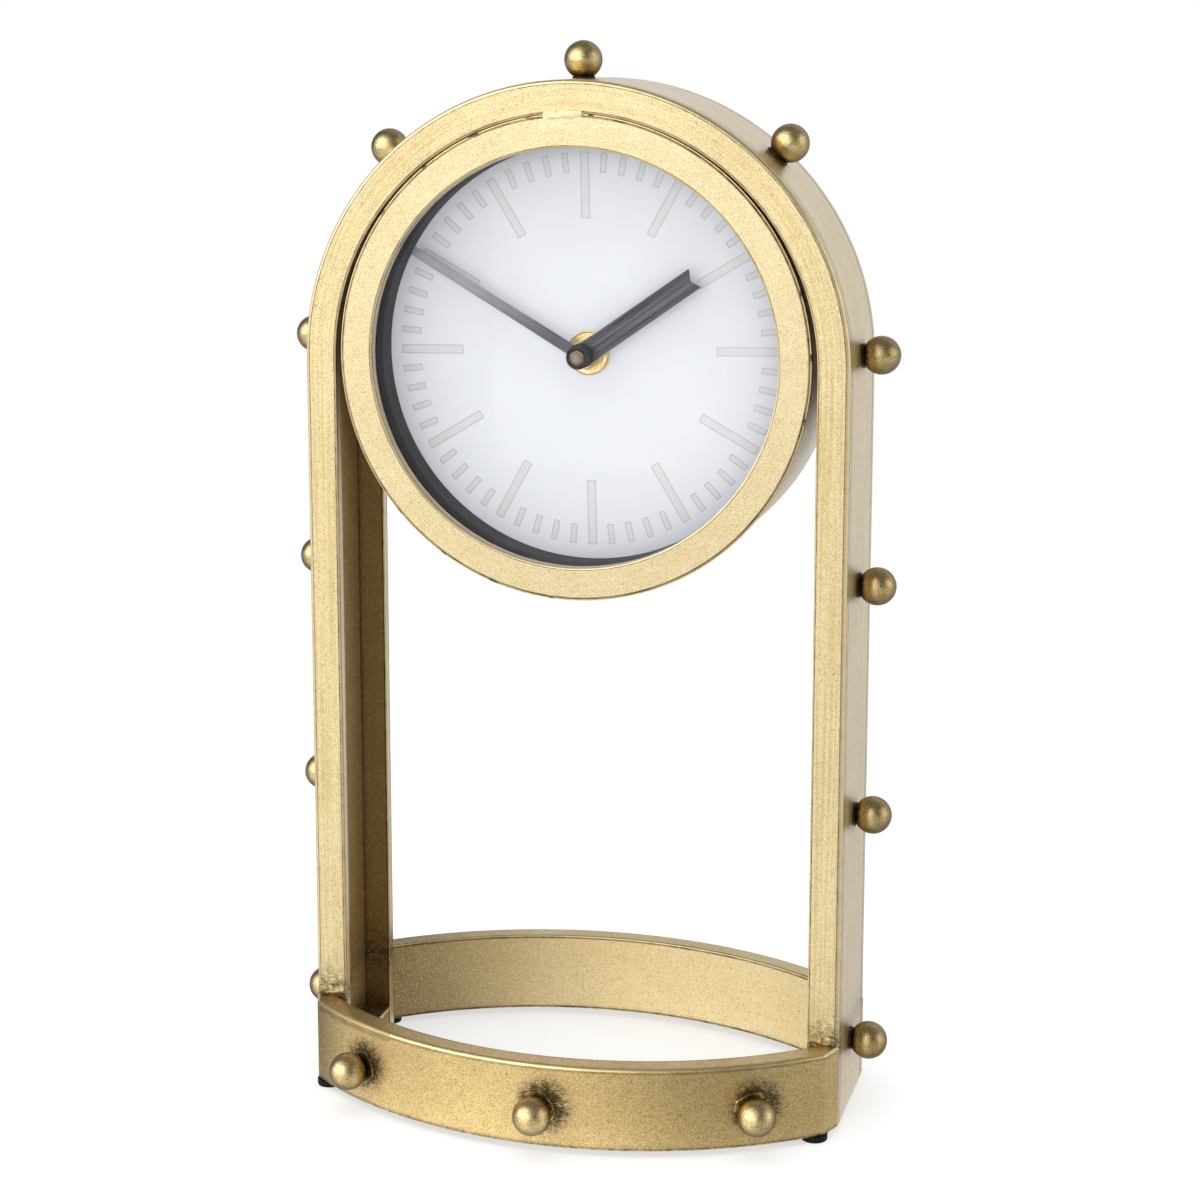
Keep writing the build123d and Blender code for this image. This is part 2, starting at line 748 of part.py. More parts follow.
coil_start = inside_half - coil_length
coil_y = train_plate_back + coil_flange / 2
coil_z = dial_centre_height + inside_half - coil_flange / 2
with BuildPart() as coil:
    coil_place = Plane((coil_start, coil_y, coil_z), x_dir=(0, 1, 0), z_dir=(1, 0, 0))
    with BuildSketch(coil_place):
        Circle(coil_winding_radius)
    extrude(amount=coil_length)
    with BuildSketch(coil_place, coil_place.offset(coil_length - coil_flange_thickness)):
        Rectangle(coil_flange, coil_flange)
    extrude(amount=coil_flange_thickness)
coil.part.label = "coil"
export_step(coil.part, "parts/coil.step")
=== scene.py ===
# Table clock: a drum clock welded into a tall brass arch, on an open lens-shaped base
from math import pi, radians

import bmesh
import bpy
import numpy as np
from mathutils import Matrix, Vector


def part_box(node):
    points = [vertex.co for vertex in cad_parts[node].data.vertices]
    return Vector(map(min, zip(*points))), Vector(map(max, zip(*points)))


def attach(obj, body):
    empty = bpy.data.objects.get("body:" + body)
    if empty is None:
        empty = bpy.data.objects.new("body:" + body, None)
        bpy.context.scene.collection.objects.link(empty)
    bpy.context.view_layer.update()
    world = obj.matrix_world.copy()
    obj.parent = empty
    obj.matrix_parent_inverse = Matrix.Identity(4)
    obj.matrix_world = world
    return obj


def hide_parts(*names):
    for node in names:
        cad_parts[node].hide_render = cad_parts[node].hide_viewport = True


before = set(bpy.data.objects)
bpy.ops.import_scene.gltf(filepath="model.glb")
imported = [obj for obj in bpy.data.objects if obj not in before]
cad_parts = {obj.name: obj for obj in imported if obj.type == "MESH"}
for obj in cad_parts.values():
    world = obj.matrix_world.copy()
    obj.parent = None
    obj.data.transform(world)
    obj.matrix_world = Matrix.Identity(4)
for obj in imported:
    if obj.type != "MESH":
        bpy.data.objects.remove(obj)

mm = 0.001
collection = bpy.context.scene.collection
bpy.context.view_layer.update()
print("frame loaded:", len(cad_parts), "nodes")


def span(node):
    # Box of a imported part, in millimetres
    low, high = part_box(node)
    return np.array(low) / mm, np.array(high) / mm


# Levels that the pieces share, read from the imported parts
webLow, webHigh = span("arch_web")
plateLow, plateHigh = span("arch_front_plate")
glassLow, glassHigh = span("glass")
bandLow, bandHigh = span("base_front_band")
archRadius, archBottom = webHigh[0], webLow[2]
archCentre = webHigh[2] - archRadius
frontFace, plateBack = plateLow[1], plateHigh[1]
baseFront, bandBottom, bandTop = bandLow[1], bandLow[2], bandHigh[2]
hub = np.array([0, (glassLow[2] + glassHigh[2]) / 2])


# Shapes. A patch holds points, four-sided faces with their corner UVs, many-sided end faces, and three values
# for
# each point: the distance from the nearest rounded edge (below zero on the edge), grime with painted shade,
# and tone, mostly painted shade
def newPatch(points, quads, uv, caps, edge):
    return {"points": points, "quads": quads, "uv": uv, "caps": caps, "edge": edge,
            "grimeAndShade": np.zeros(len(points)), "shadeAndTone": np.zeros(len(points))}


def unit(rows):
    return rows / np.linalg.norm(rows, axis=-1, keepdims=True)


def runLength(line, closed=False):
    # Length along a line at each of its points
    line = np.concatenate([line, line[:1]]) if closed else line
    return np.append(0, np.cumsum(np.linalg.norm(np.diff(line, axis=0), axis=1)))


def stood(flat, height, upright):
    # Flat places and heights become points: the height is Z when upright, and Y otherwise
    height = np.broadcast_to(height, flat.shape[:2])
    order = [flat[..., 0], flat[..., 1], height] if upright else [flat[..., 0], height, flat[..., 1]]
    return np.stack(order, -1)


def roundedLoop(corners, radii, flatSteps, cornerSteps=5):
    # Closed line: an arc tangent to both sides at every corner, and straight sides between the arcs whose
    # points crowd towards the arcs by t = (1 - cos(pi i / n)) / 2
    corners, radii = np.array(corners, float), np.array(radii, float)
    before = unit(np.roll(corners, 1, 0) - corners)
    after = unit(np.roll(corners, -1, 0) - corners)
    half = np.arccos(np.clip((before * after).sum(1), -1, 1)) / 2
    reach = (radii / np.tan(half))[:, None]
    centre = corners + unit(before + after) * (radii / np.sin(half))[:, None]
    first, last = corners + before * reach - centre, corners + after * reach - centre
    sweep = (pi - 2 * half)[:, None, None]
    t = np.linspace(0, 1, cornerSteps + 1)[None, :, None]
    arcs = (np.sin((1 - t) * sweep) * first[:, None] + np.sin(t * sweep) * last[:, None]) / np.sin(sweep)
    arcs = arcs + centre[:, None]
    points, values = [], []
    for side, steps in enumerate(flatSteps):
        start, end = arcs[side, -1], arcs[(side + 1) % len(corners), 0]
        s = (1 - np.cos(pi * np.arange(1, steps) / steps)) / 2
        points += [arcs[side], start + s[:, None] * (end - start)]
        values += [-np.sin(pi * t.ravel()), np.minimum(s, 1 - s) * np.linalg.norm(end - start)]
    return np.concatenate(points), np.concatenate(values)


def gridPatch(points, edge, alongRun, acrossRun, closed=False):
    # Grid (stations, profile, 3): quads between neighbours; the profile is closed, the path closed or capped
    stations, size = points.shape[:2]
    i, j = np.meshgrid(np.arange(stations if closed else stations - 1), np.arange(size), indexing="ij")
    u = np.stack([alongRun[i], alongRun[i + 1], alongRun[i + 1], alongRun[i]], -1)
    v = np.stack([acrossRun[j], acrossRun[j], acrossRun[j + 1], acrossRun[j + 1]], -1)
    nextI, nextJ = (i + 1) % stations, (j + 1) % size
    i, nextI = i * size, nextI * size
    quads = np.stack([i + j, nextI + j, nextI + nextJ, i + nextJ], -1).reshape(-1, 4)
    caps = [] if closed else [np.arange(size)[::-1], np.arange(size) + (stations - 1) * size]
    edge = np.broadcast_to(edge, (stations, size)).reshape(-1).copy()
    return newPatch(points.reshape(-1, 3), quads, np.stack([u, v], -1).reshape(-1, 4, 2), caps, edge)


def meanEdge(across, edge, height):
    # The distance from the edge on flats that lie across the path grows with the station's own width
    middle = (across.max(1) + across.min(1))[:, None] / 2
    reach = np.abs(across.max(1) - across.min(1))[:, None] / 2 - np.abs(across - middle)
    level = (np.abs(height - height.min()) < 1e-6) | (np.abs(height - height.max()) < 1e-6)
    start = np.where(level & (edge >= 0), reach, np.inf).min(1, keepdims=True)
    return np.where(level & (edge > 0), reach - start, edge[None, :])


def carried(inner, outer, low, high, radii, flatSteps, upright=False, closed=False):
    # Rectangle with rounded corners carried along a path: at each station it spans the line from the inner
    # to the outer point, and its other side runs from low to high along Y, or along Z when upright
    inner, outer = np.array(inner, float), np.array(outer, float)
    width = np.linalg.norm(outer - inner, axis=1)
    narrow, wide = 4.0 * max(radii), 8.0 * max(radii)

    def section(w):
        return roundedLoop([(0, low), (w, low), (w, high), (0, high)], radii, flatSteps)

    (thin, edge), (thick, _) = section(narrow), section(wide)
    share = ((width - narrow) / (wide - narrow))[:, None]
    across = thin[None, :, 0] + share * (thick - thin)[None, :, 0]
    flat = inner[:, None] + unit(outer - inner)[:, None] * across[:, :, None]
    points = stood(flat, thin[None, :, 1], upright)
    acrossRun = runLength(section(width.mean())[0], True)
    edge = meanEdge(across, edge, thin[:, 1])
    return gridPatch(points, edge, runLength((inner + outer) / 2, closed), acrossRun, closed)


def turned(profile, steps):
    # Line of (radius, height) turned about Z; its ends close with small flat faces
    profile = np.array(profile, float)
    angle = 2 * pi * np.arange(steps) / steps
    points = np.stack([profile[:, None, 0] * np.cos(angle), profile[:, None, 0] * np.sin(angle),
                       np.broadcast_to(profile[:, None, 1], (len(profile), steps))], -1)
    return gridPatch(points, 3.0, runLength(profile), np.append(angle, 2 * pi) * profile[:, 0].max())


def slab(outline, low, high, edgeRadius, upright=False, steps=4):
    # Flat outline between two levels; its rim is a quarter circle at both levels, set in along the outline's
    # own mitred normals
    outline = np.array(outline, float)
    ahead = unit(np.roll(outline, -1, 0) - outline)
    normal = np.stack([ahead[:, 1], -ahead[:, 0]], -1)
    back = np.roll(normal, 1, 0)
    mitre = (normal + back) / (1 + (normal * back).sum(1, keepdims=True))
    turn = np.linspace(0, pi / 2, steps + 1)
    inset = edgeRadius * np.concatenate([1 - np.sin(turn), 1 - np.sin(turn[::-1])])
    rise = edgeRadius * (1 - np.cos(turn))
    height = np.concatenate([low + rise, high - rise[::-1]])
    points = stood(outline[None] - mitre[None] * inset[:, None, None], height[:, None], upright)
    edge = np.concatenate([3 - 4 * np.sin(turn), 3 - 4 * np.sin(turn[::-1])])[:, None]
    down = np.arange(len(inset)) * (high - low) / (len(inset) - 1)
    return gridPatch(points, edge, down, runLength(outline, True))


def placed(patch, spot, way):
    # The patch's Z is turned to the given way, and its origin moved to the spot
    turn = np.array(Vector((0, 0, 1)).rotation_difference(Vector(way)).to_matrix())
    return {**patch, "points": patch["points"] @ turn.T + np.array(spot)}


def mirrored(patch, axis):
    return {**patch, "points": patch["points"] * np.where(np.arange(3) == axis, -1, 1)}


def volume(patch):
    # Signed volume, times six
    p, q = patch["points"], patch["quads"]
    corners = [np.stack([p[q[:, 0]], p[q[:, a]], p[q[:, b]]], 1) for a, b in ((1, 2), (2, 3))]
    corners += [p[np.stack([np.full(len(cap) - 2, cap[0]), cap[1:-1], cap[2:]], -1)] for cap in patch["caps"]]
    return np.linalg.det(np.concatenate(corners)).sum()


def newPiece(name, mesh, material, node, body):
    mesh.materials.clear()
    mesh.materials.append(material)
    piece = bpy.data.objects.new(name, mesh)
    collection.objects.link(piece)
    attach(piece, body)
    if node:
        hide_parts(node)
    return piece


def makePiece(name, patches, material, node=None, body="frame", sharp=40):
    # Patches join into one object; a patch whose signed volume is negative is turned the right way out
    points, faces, uv, offset = [], [], [], 0
    for patch in patches:
        turn = -1 if volume(patch) < 0 else 1
        caps = [cap[::turn] for cap in patch["caps"]]
        faces += (patch["quads"][:, ::turn] + offset).tolist() + [(cap + offset).tolist() for cap in caps]
        uv += [patch["uv"][:, ::turn].reshape(-1, 2)] + [patch["points"][cap][:, [0, 2]] for cap in caps]
        points.append(patch["points"])
        offset += len(patch["points"])
    mesh = bpy.data.meshes.new(name)
    mesh.from_pydata((np.concatenate(points) * mm).tolist(), [], faces)
    run = mesh.uv_layers.new(name="run")
    run.data.foreach_set("uv", (np.concatenate(uv) * mm).astype(np.float32).ravel())
    for label, key in (("edgeDistance", "edge"), ("grimeAndShade", "grimeAndShade"), ("shadeAndTone", "shadeAndTone")):
        values = np.concatenate([patch[key] for patch in patches])
        mesh.attributes.new(label, "FLOAT", "POINT").data.foreach_set("value", values)
    mesh.shade_smooth()
    mesh.set_sharp_from_angle(angle=radians(sharp))
    mesh.validate()
    piece = newPiece(name, mesh, material, node, body)
    piece.modifiers.new("faceNormals", "WEIGHTED_NORMAL").keep_sharp = True


def easedCopy(name, node, width, material, body="frame", segments=3):
    # The node's own shape with its edges rounded
    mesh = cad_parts[node].data.copy()
    shell = bmesh.new()
    shell.from_mesh(mesh)
    bmesh.ops.remove_doubles(shell, verts=shell.verts, dist=1e-6)
    bmesh.ops.dissolve_limit(shell, angle_limit=radians(1), verts=shell.verts, edges=shell.edges)
    shell.to_mesh(mesh)
    shell.free()
    mesh.name = name
    mesh.shade_smooth()
    mesh.set_sharp_from_angle(angle=radians(50))
    bevel = newPiece(name, mesh, material, node, body).modifiers.new("easedEdges", "BEVEL")
    bevel.width, bevel.segments = width * mm, segments
    bevel.limit_method, bevel.angle_limit, bevel.harden_normals = "ANGLE", radians(40), True


class Tree:
    # Nodes and links of a material or group, with short calls for what repeats
    def __init__(self, tree):
        self.nodes, self.links = tree.nodes, tree.links

    def fill(self, sockets, values):
        # A socket's value is another node's output, or a constant
        for label, value in values.items():
            if hasattr(value, "is_linked"):
                self.links.new(value, sockets[label])
            else:
                sockets[label].default_value = value

    def add(self, kind, values=None, **settings):
        node = self.nodes.new("ShaderNode" + kind)
        for label, value in settings.items():
            setattr(node, label, value)
        self.fill(node.inputs, values or {})
        return node.outputs

    def math(self, operation, first, second, clamp=False):
        return self.add("Math", {0: first, 1: second}, operation=operation, use_clamp=clamp)[0]

    def times(self, first, second):
        return self.math("MULTIPLY", first, second)

    def larger(self, first, second):
        return self.math("MAXIMUM", first, second)

    def addUp(self, terms):
        # Sum of values times their weights
        total = None
        for value, weight in terms:
            term = self.times(value, weight)
            total = term if total is None else self.math("ADD", total, term)
        return total

    def remap(self, value, low, high, toLow=0.0, toHigh=1.0, curve="SMOOTHSTEP"):
        return self.add("MapRange", {"Value": value, "From Min": low, "From Max": high, "To Min": toLow,
                                     "To Max": toHigh}, interpolation_type=curve)["Result"]

    def noise(self, vector, scale, detail=4.0, roughness=0.55):
        return self.add("TexNoise", {"Vector": vector, "Scale": scale, "Detail": detail,
                                     "Roughness": roughness})["Fac"]

    def mix(self, factor, first, second):
        first, second = [value if hasattr(value, "is_linked") else (*value, 1) for value in (first, second)]
        return self.add("Mix", {"Factor": factor, 6: first, 7: second}, data_type="RGBA")[2]

    def length(self, vector):
        return self.add("VectorMath", {0: vector}, operation="LENGTH")["Value"]

    def meshValue(self, label):
        return self.add("Attribute", attribute_name=label)["Fac"]

    def bumped(self, height, distance, strength=1.0):
        return self.add("Bump", {"Strength": strength, "Distance": distance, "Height": height})[0]

    def effect(self, key, values):
        return self.add("Group", values, node_tree=groups[key])


# Shader effects, each built once as a group
def newGroup(name, inputs, outputs):
    # Inputs by label with their starting values, where None leaves a vector unset; the outputs are numbers
    group = bpy.data.node_groups.new(name, "ShaderNodeTree")
    for label, value in inputs.items():
        kind = "NodeSocketFloat" if isinstance(value, float) else "NodeSocketVector"
        socket = group.interface.new_socket(name=label, in_out="INPUT", socket_type=kind)
        if value is not None:
            socket.default_value = value
    for label in outputs:
        group.interface.new_socket(name=label, in_out="OUTPUT", socket_type="NodeSocketFloat")
    given, out = group.nodes.new("NodeGroupInput").outputs, group.nodes.new("NodeGroupOutput").inputs
    return group, Tree(group), given, out


def lineGroup():
    # Fine brush lines: noise on the run UV, stretched along the first axis
    group, tree, given, out = newGroup("brushLines", {"Vector": None, "Stretch": (60, 2600, 1)},
                                       ["Lines", "Height"])
    scaled = tree.add("VectorMath", {0: given["Vector"], 1: given["Stretch"]}, operation="MULTIPLY")[0]
    fine = tree.noise(scaled, 1.0, 5.0, 0.6)
    tree.fill(out, {"Lines": tree.remap(fine, 0.4, 0.6), "Height": fine})
    return group


def cloudGroup():
    # Patina: wide soft clouds, a fine mottle, sand-like grain, and small dark flecks where two noises agree
    group, tree, given, out = newGroup(
        "patinaClouds", {"Vector": None, "Cloud Scale": 28.0, "Mottle Scale": 260.0, "Fleck Scale": 700.0,
                         "Grain Scale": 2500.0}, ["Clouds", "Mottle", "Flecks", "Grain"])
    clouds = tree.noise(given["Vector"], given["Cloud Scale"], 5.0, 0.6)
    mottle = tree.noise(given["Vector"], given["Mottle Scale"], 4.0, 0.65)
    flecks = tree.noise(given["Vector"], given["Fleck Scale"], 2.0, 0.6)
    grain = tree.noise(given["Vector"], given["Grain Scale"], 2.0, 0.7)
    both = tree.times(flecks, tree.remap(mottle, 0.3, 0.7, 0.75, 1.15, "LINEAR"))
    tree.fill(out, {"Clouds": tree.remap(clouds, 0.35, 0.7), "Mottle": tree.remap(mottle, 0.3, 0.7),
                    "Flecks": tree.remap(both, 0.7, 0.77),
                    "Grain": tree.remap(grain, 0.3, 0.7, curve="LINEAR")})
    return group


def edgeGroup():
    # From the distance to the edge: bright where it is rubbed, partly wear and partly a painted highlight on
    # the rounding; painted shade in a broken line beside it, where the edge turns away
    group, tree, given, out = newGroup("edgeWearAndShade", {"Edge Distance": 3.0, "Vector": None},
                                       ["Rubbed Highlight", "Shade Line"])
    distance = given["Edge Distance"]
    rubbed = tree.remap(distance, -0.2, -0.75)
    broken = tree.remap(tree.noise(given["Vector"], 160.0, 3.0, 0.6), 0.32, 0.6)
    line = tree.times(tree.remap(distance, -0.65, 0.0), tree.remap(distance, 0.95, 0.3))
    tree.fill(out, {"Rubbed Highlight": tree.times(rubbed, tree.remap(broken, 0, 1, 0.55, 1.0)),
                    "Shade Line": tree.times(line, tree.remap(broken, 0, 1, 1.0, 0.7))})
    return group


def grimeAndShadeGroup():
    # Grime and painted shade from the mesh value, with its border broken up by noise and by fine slanting
    # strokes
    group, tree, given, out = newGroup("grimeAndShadePatches", {"Grime And Shade": 0.0, "Vector": None}, ["Mask"])
    slant = tree.add("Mapping", {"Vector": given["Vector"], "Rotation": (0, radians(40), 0),
                                 "Scale": (500, 1300, 2400)})[0]
    coarse, strokes = tree.noise(given["Vector"], 380.0, 7.0, 0.75), tree.noise(slant, 1.0, 3.0, 0.6)
    both = tree.addUp([(coarse, 0.55), (strokes, 0.45)])
    shifted = tree.times(given["Grime And Shade"], tree.remap(both, 0.41, 0.59, 0.4, 1.6, "LINEAR"))
    tree.fill(out, {"Mask": tree.remap(shifted, 0.1, 0.85)})
    return group


groups = {"lines": lineGroup(), "clouds": cloudGroup(), "edge": edgeGroup(), "grimeAndShade": grimeAndShadeGroup()}


def newMaterial(name):
    material = bpy.data.materials.new(name)
    material.use_nodes = True
    tree = Tree(material.node_tree)
    return material, tree, tree.nodes["Principled BSDF"].inputs, tree.add("TexCoord")["Object"]


antiqueLook = {
    "gold": (0.76, 0.61, 0.3), "deepGold": (0.6, 0.45, 0.195), "lineGold": (0.95, 0.81, 0.5),
    "rubbed": (0.86, 0.7, 0.38), "bronze": (0.08, 0.053, 0.024), "brown": (0.27, 0.165, 0.045),
    "grainBrown": (0.45, 0.31, 0.13), "cloudScale": 26.0, "cloudShare": 0.5, "mottleShare": 0.35,
    "lineShare": 0.6, "fleckShare": 0.6, "grainDark": 0.95, "grainLight": 0.8, "edgeDark": 0.95,
    "grimeShadeShare": 0.94, "rim": 0.0, "stretch": (12, 900, 1), "lineHeight": 0.6, "mottleHeight": 0.5,
    "grainHeight": 0.7, "bump": 0.5, "roughness": 0.36, "metallic": 1.0, "coat": 0.85}


def brassMaterial(name, **changes):
    # Layers of colour over the gold, each with its mask, and roughness and bump from the same masks
    look = {**antiqueLook, **changes}
    material, tree, shader, place = newMaterial(name)
    run = tree.add("UVMap", uv_map="run")[0]
    lines = tree.effect("lines", {"Vector": run, "Stretch": look["stretch"]})
    clouds = tree.effect("clouds", {"Vector": place, "Cloud Scale": look["cloudScale"]})
    edge = tree.effect("edge", {"Edge Distance": tree.meshValue("edgeDistance"), "Vector": place})
    grimeAndShade = tree.effect("grimeAndShade", {"Grime And Shade": tree.meshValue("grimeAndShade"), "Vector": place})["Mask"]
    flecks = tree.times(clouds["Flecks"], look["fleckShare"])
    # Bronze goes where the painted edge shade, the flecks or the grime with its painted shade is strongest;
    # brown goes with the tone, mostly painted shade
    dark = tree.larger(tree.times(edge["Shade Line"], look["edgeDark"]), flecks)
    dark = tree.larger(dark, tree.times(grimeAndShade, look["grimeShadeShare"]))
    layers = [(tree.times(clouds["Clouds"], look["cloudShare"]), "deepGold"),
              (tree.times(clouds["Mottle"], look["mottleShare"]), "deepGold"),
              (tree.times(lines["Lines"], look["lineShare"]), "lineGold"),
              (tree.meshValue("shadeAndTone"), "brown"),
              (tree.times(tree.remap(clouds["Grain"], 0.5, 0.1), look["grainDark"]), "grainBrown"),
              (tree.times(tree.remap(clouds["Grain"], 0.5, 0.95), look["grainLight"]), "rubbed"),
              (edge["Rubbed Highlight"], "rubbed"), (dark, "bronze")]
    # Painted shade round the outline, growing where the surface turns away from the view
    if look["rim"]:
        facing = tree.add("LayerWeight")["Facing"]
        layers.append((tree.times(tree.remap(facing, 0.15, 0.85), look["rim"]), "bronze"))
    colour = look["gold"]
    for mask, key in layers:
        colour = tree.mix(mask, colour, look[key])
    roughness = tree.addUp([(clouds["Clouds"], 0.07), (clouds["Mottle"], 0.06), (lines["Lines"], 0.05),
                            (dark, 0.16)])
    roughness = tree.math("ADD", roughness, look["roughness"])
    height = tree.addUp([(lines["Height"], look["lineHeight"]), (clouds["Mottle"], look["mottleHeight"]),
                         (clouds["Flecks"], -0.5), (grimeAndShade, -0.25), (clouds["Grain"], look["grainHeight"])])
    tree.fill(shader, {"Base Color": colour, "Normal": tree.bumped(height, 0.0001, look["bump"]),
                       "Roughness": tree.math("SUBTRACT", roughness, tree.times(edge["Rubbed Highlight"], 0.1), True),
                       "Metallic": look["metallic"], "Coat Weight": look["coat"], "Coat Roughness": 0.25,
                       "Coat IOR": 1.5})
    return material


antiqueBrass = brassMaterial("antiqueBrass")
baseBrass = brassMaterial(
    "baseBrass", gold=(0.74, 0.545, 0.22), deepGold=(0.54, 0.375, 0.13), brown=(0.16, 0.09, 0.025),
    grainBrown=(0.32, 0.2, 0.065), edgeDark=0.5, lineShare=0.2, mottleShare=0.5, stretch=(300, 900, 1),
    coat=0.3)
# A brighter, less metallic copy of the brass for the rear band: painted light on its inner face, which sits in
# shade near the floor
rearBrassLit = brassMaterial(
    "rearBrassLit", gold=(0.95, 0.8, 0.46), deepGold=(0.86, 0.69, 0.36), brown=(0.1, 0.055, 0.012), metallic=0.75,
    coat=0.0, lineShare=0.2, stretch=(300, 900, 1))
studBrass = brassMaterial(
    "studBrass", gold=(0.84, 0.65, 0.31), deepGold=(0.42, 0.295, 0.12), grainBrown=(0.3, 0.2, 0.08), coat=0.0,
    lineShare=0.15, stretch=(500, 500, 1), cloudScale=90.0, roughness=0.17, rim=0.95)
ringBrass = brassMaterial(
    "ringBrass", gold=(0.83, 0.7, 0.42), deepGold=(0.7, 0.56, 0.3), fleckShare=0.25, lineShare=0.35,
    stretch=(200, 900, 1), grainDark=0.85)
polishedBrass = brassMaterial(
    "polishedBrass", gold=(0.6, 0.39, 0.09), deepGold=(0.24, 0.135, 0.025), rubbed=(0.95, 0.78, 0.42),
    roughness=0.12, bump=0.7, cloudShare=0.7, cloudScale=160.0, mottleShare=0.6, fleckShare=0.5,
    stretch=(200, 2500, 1), coat=0.0)
lipGold = brassMaterial(
    "lipGold", gold=(1.0, 0.66, 0.22), deepGold=(0.75, 0.42, 0.1), roughness=0.2, coat=0.0, edgeDark=0.2)
nutBronze = brassMaterial(
    "nutBronze", gold=(0.2, 0.11, 0.04), deepGold=(0.12, 0.06, 0.02), rubbed=(0.9, 0.7, 0.4), grainLight=0.1,
    lineShare=0.1, roughness=0.2, coat=0.0)


def plainMaterial(name, light, dark, roughness, bump=0.2, specular=0.5, metallic=0.0, coat=0.0):
    # Moulded or painted surface: two close colours in a fine mottle, with matching roughness and bump
    material, tree, shader, place = newMaterial(name)
    clouds = tree.effect("clouds", {"Vector": place, "Cloud Scale": 40.0, "Mottle Scale": 1500.0})
    mixed = tree.addUp([(clouds["Clouds"], 0.5), (clouds["Mottle"], 0.5)])
    tree.fill(shader, {"Base Color": tree.mix(mixed, light, dark),
                       "Roughness": tree.math("ADD", tree.times(mixed, 0.1), roughness, True),
                       "Normal": tree.bumped(clouds["Mottle"], 0.00005, bump), "Metallic": metallic,
                       "Coat Weight": coat, "Specular IOR Level": specular})
    return material


rubberBlack = plainMaterial("rubberBlack", (0.014, 0.014, 0.016), (0.007, 0.007, 0.008), 0.5, specular=0.12)
dialWhite = plainMaterial("dialWhite", (0.86, 0.875, 0.92), (0.84, 0.855, 0.9), 0.45, 0.08)
spacerGrey = plainMaterial("spacerGrey", (0.024, 0.025, 0.029), (0.013, 0.014, 0.017), 0.45, specular=0.2)
movementBlack = plainMaterial("movementBlack", (0.04, 0.04, 0.043), (0.025, 0.025, 0.027), 0.42, 0.4)
gearWhite = plainMaterial("gearWhite", (0.82, 0.81, 0.77), (0.76, 0.75, 0.7), 0.35)
steelGrey = plainMaterial("steelGrey", (0.17, 0.155, 0.155), (0.1, 0.094, 0.094), 0.3, metallic=1.0)
batteryWrap = plainMaterial("batteryWrap", (0.12, 0.13, 0.15), (0.1, 0.11, 0.13), 0.2, 0.05, coat=0.5)
circuitGreen = plainMaterial("circuitGreen", (0.05, 0.24, 0.12), (0.03, 0.17, 0.08), 0.3)
collarBlack = plainMaterial("collarBlack", (0.008, 0.008, 0.01), (0.004, 0.004, 0.006), 0.25, 0.05, 0.1)


def copperMaterial(name):
    # Wire turns along X, as fine stripes
    material, tree, shader, place = newMaterial(name)
    lines = tree.effect("lines", {"Vector": place, "Stretch": (5200, 60, 60)})
    tree.fill(shader, {"Base Color": tree.mix(lines["Lines"], (0.36, 0.15, 0.05), (0.7, 0.36, 0.15)),
                       "Roughness": tree.remap(lines["Lines"], 0, 1, 0.3, 0.45),
                       "Normal": tree.bumped(lines["Height"], 0.00005), "Metallic": 0.6})
    return material


def handMaterial(name, angle, dark, light, tip, fade):
    # Charcoal lacquer over brushed metal, brushed along the hand, and paler away from the hub
    material, tree, shader, place = newMaterial(name)
    along = tree.add("Mapping", {"Vector": place, "Rotation": (0, angle, 0)})[0]
    lines = tree.effect("lines", {"Vector": along, "Stretch": (12, 12, 1500)})
    fromHub = tree.add("Mapping", {"Vector": place, "Location": (0, 0, -hub[1] * mm), "Scale": (1, 0, 1)})[0]
    far = tree.remap(tree.length(fromHub), 0.008, 0.06, 0.0, fade)
    tree.fill(shader, {"Base Color": tree.mix(far, tree.mix(lines["Lines"], dark, light), tip),
                       "Roughness": tree.remap(lines["Lines"], 0, 1, 0.42, 0.3),
                       "Normal": tree.bumped(lines["Height"], 0.00005, 0.25), "Metallic": 0.5,
                       "Specular IOR Level": 0.3})
    return material


def markMaterial(name):
    # Pearl grey print with a thin darker outline, from the value at the bars' rims
    material, tree, shader, place = newMaterial(name)
    mottle = tree.effect("clouds", {"Vector": place, "Cloud Scale": 120.0, "Mottle Scale": 1800.0})["Mottle"]
    rim = tree.remap(tree.meshValue("edgeDistance"), 0.44, 0.3)
    fill = tree.mix(mottle, (0.78, 0.78, 0.785), (0.74, 0.74, 0.745))
    tree.fill(shader, {"Base Color": tree.mix(rim, fill, (0.56, 0.55, 0.555)),
                       "Roughness": tree.remap(mottle, 0, 1, 0.3, 0.42),
                       "Normal": tree.bumped(mottle, 0.00002)})
    return material


def glassMaterial(name):
    # Clear glass that lets the lamps' light through to the dial, with faint waviness
    material, tree, shader, place = newMaterial(name)
    wavy = tree.noise(place, 9.0, 2.0, 0.5)
    tree.fill(shader, {"Base Color": tree.mix(wavy, (0.985, 0.99, 0.995), (0.975, 0.985, 0.99)),
                       "Roughness": tree.remap(wavy, 0.3, 0.7, 0.0, 0.005),
                       "Normal": tree.bumped(wavy, 0.0005, 0.02), "Transmission Weight": 1.0, "IOR": 1.2})
    path = tree.add("LightPath")
    through = tree.add("MixShader", {0: tree.larger(path["Is Shadow Ray"], path["Is Diffuse Ray"]),
                                     1: tree.nodes["Principled BSDF"].outputs[0],
                                     2: tree.add("BsdfTransparent")[0]})
    tree.fill(tree.nodes["Material Output"].inputs, {"Surface": through[0]})
    return material


copperWinding = copperMaterial("copperWinding")
markPearl = markMaterial("markPearl")
clearGlass = glassMaterial("clearGlass")
print("materials made:", len(bpy.data.materials))

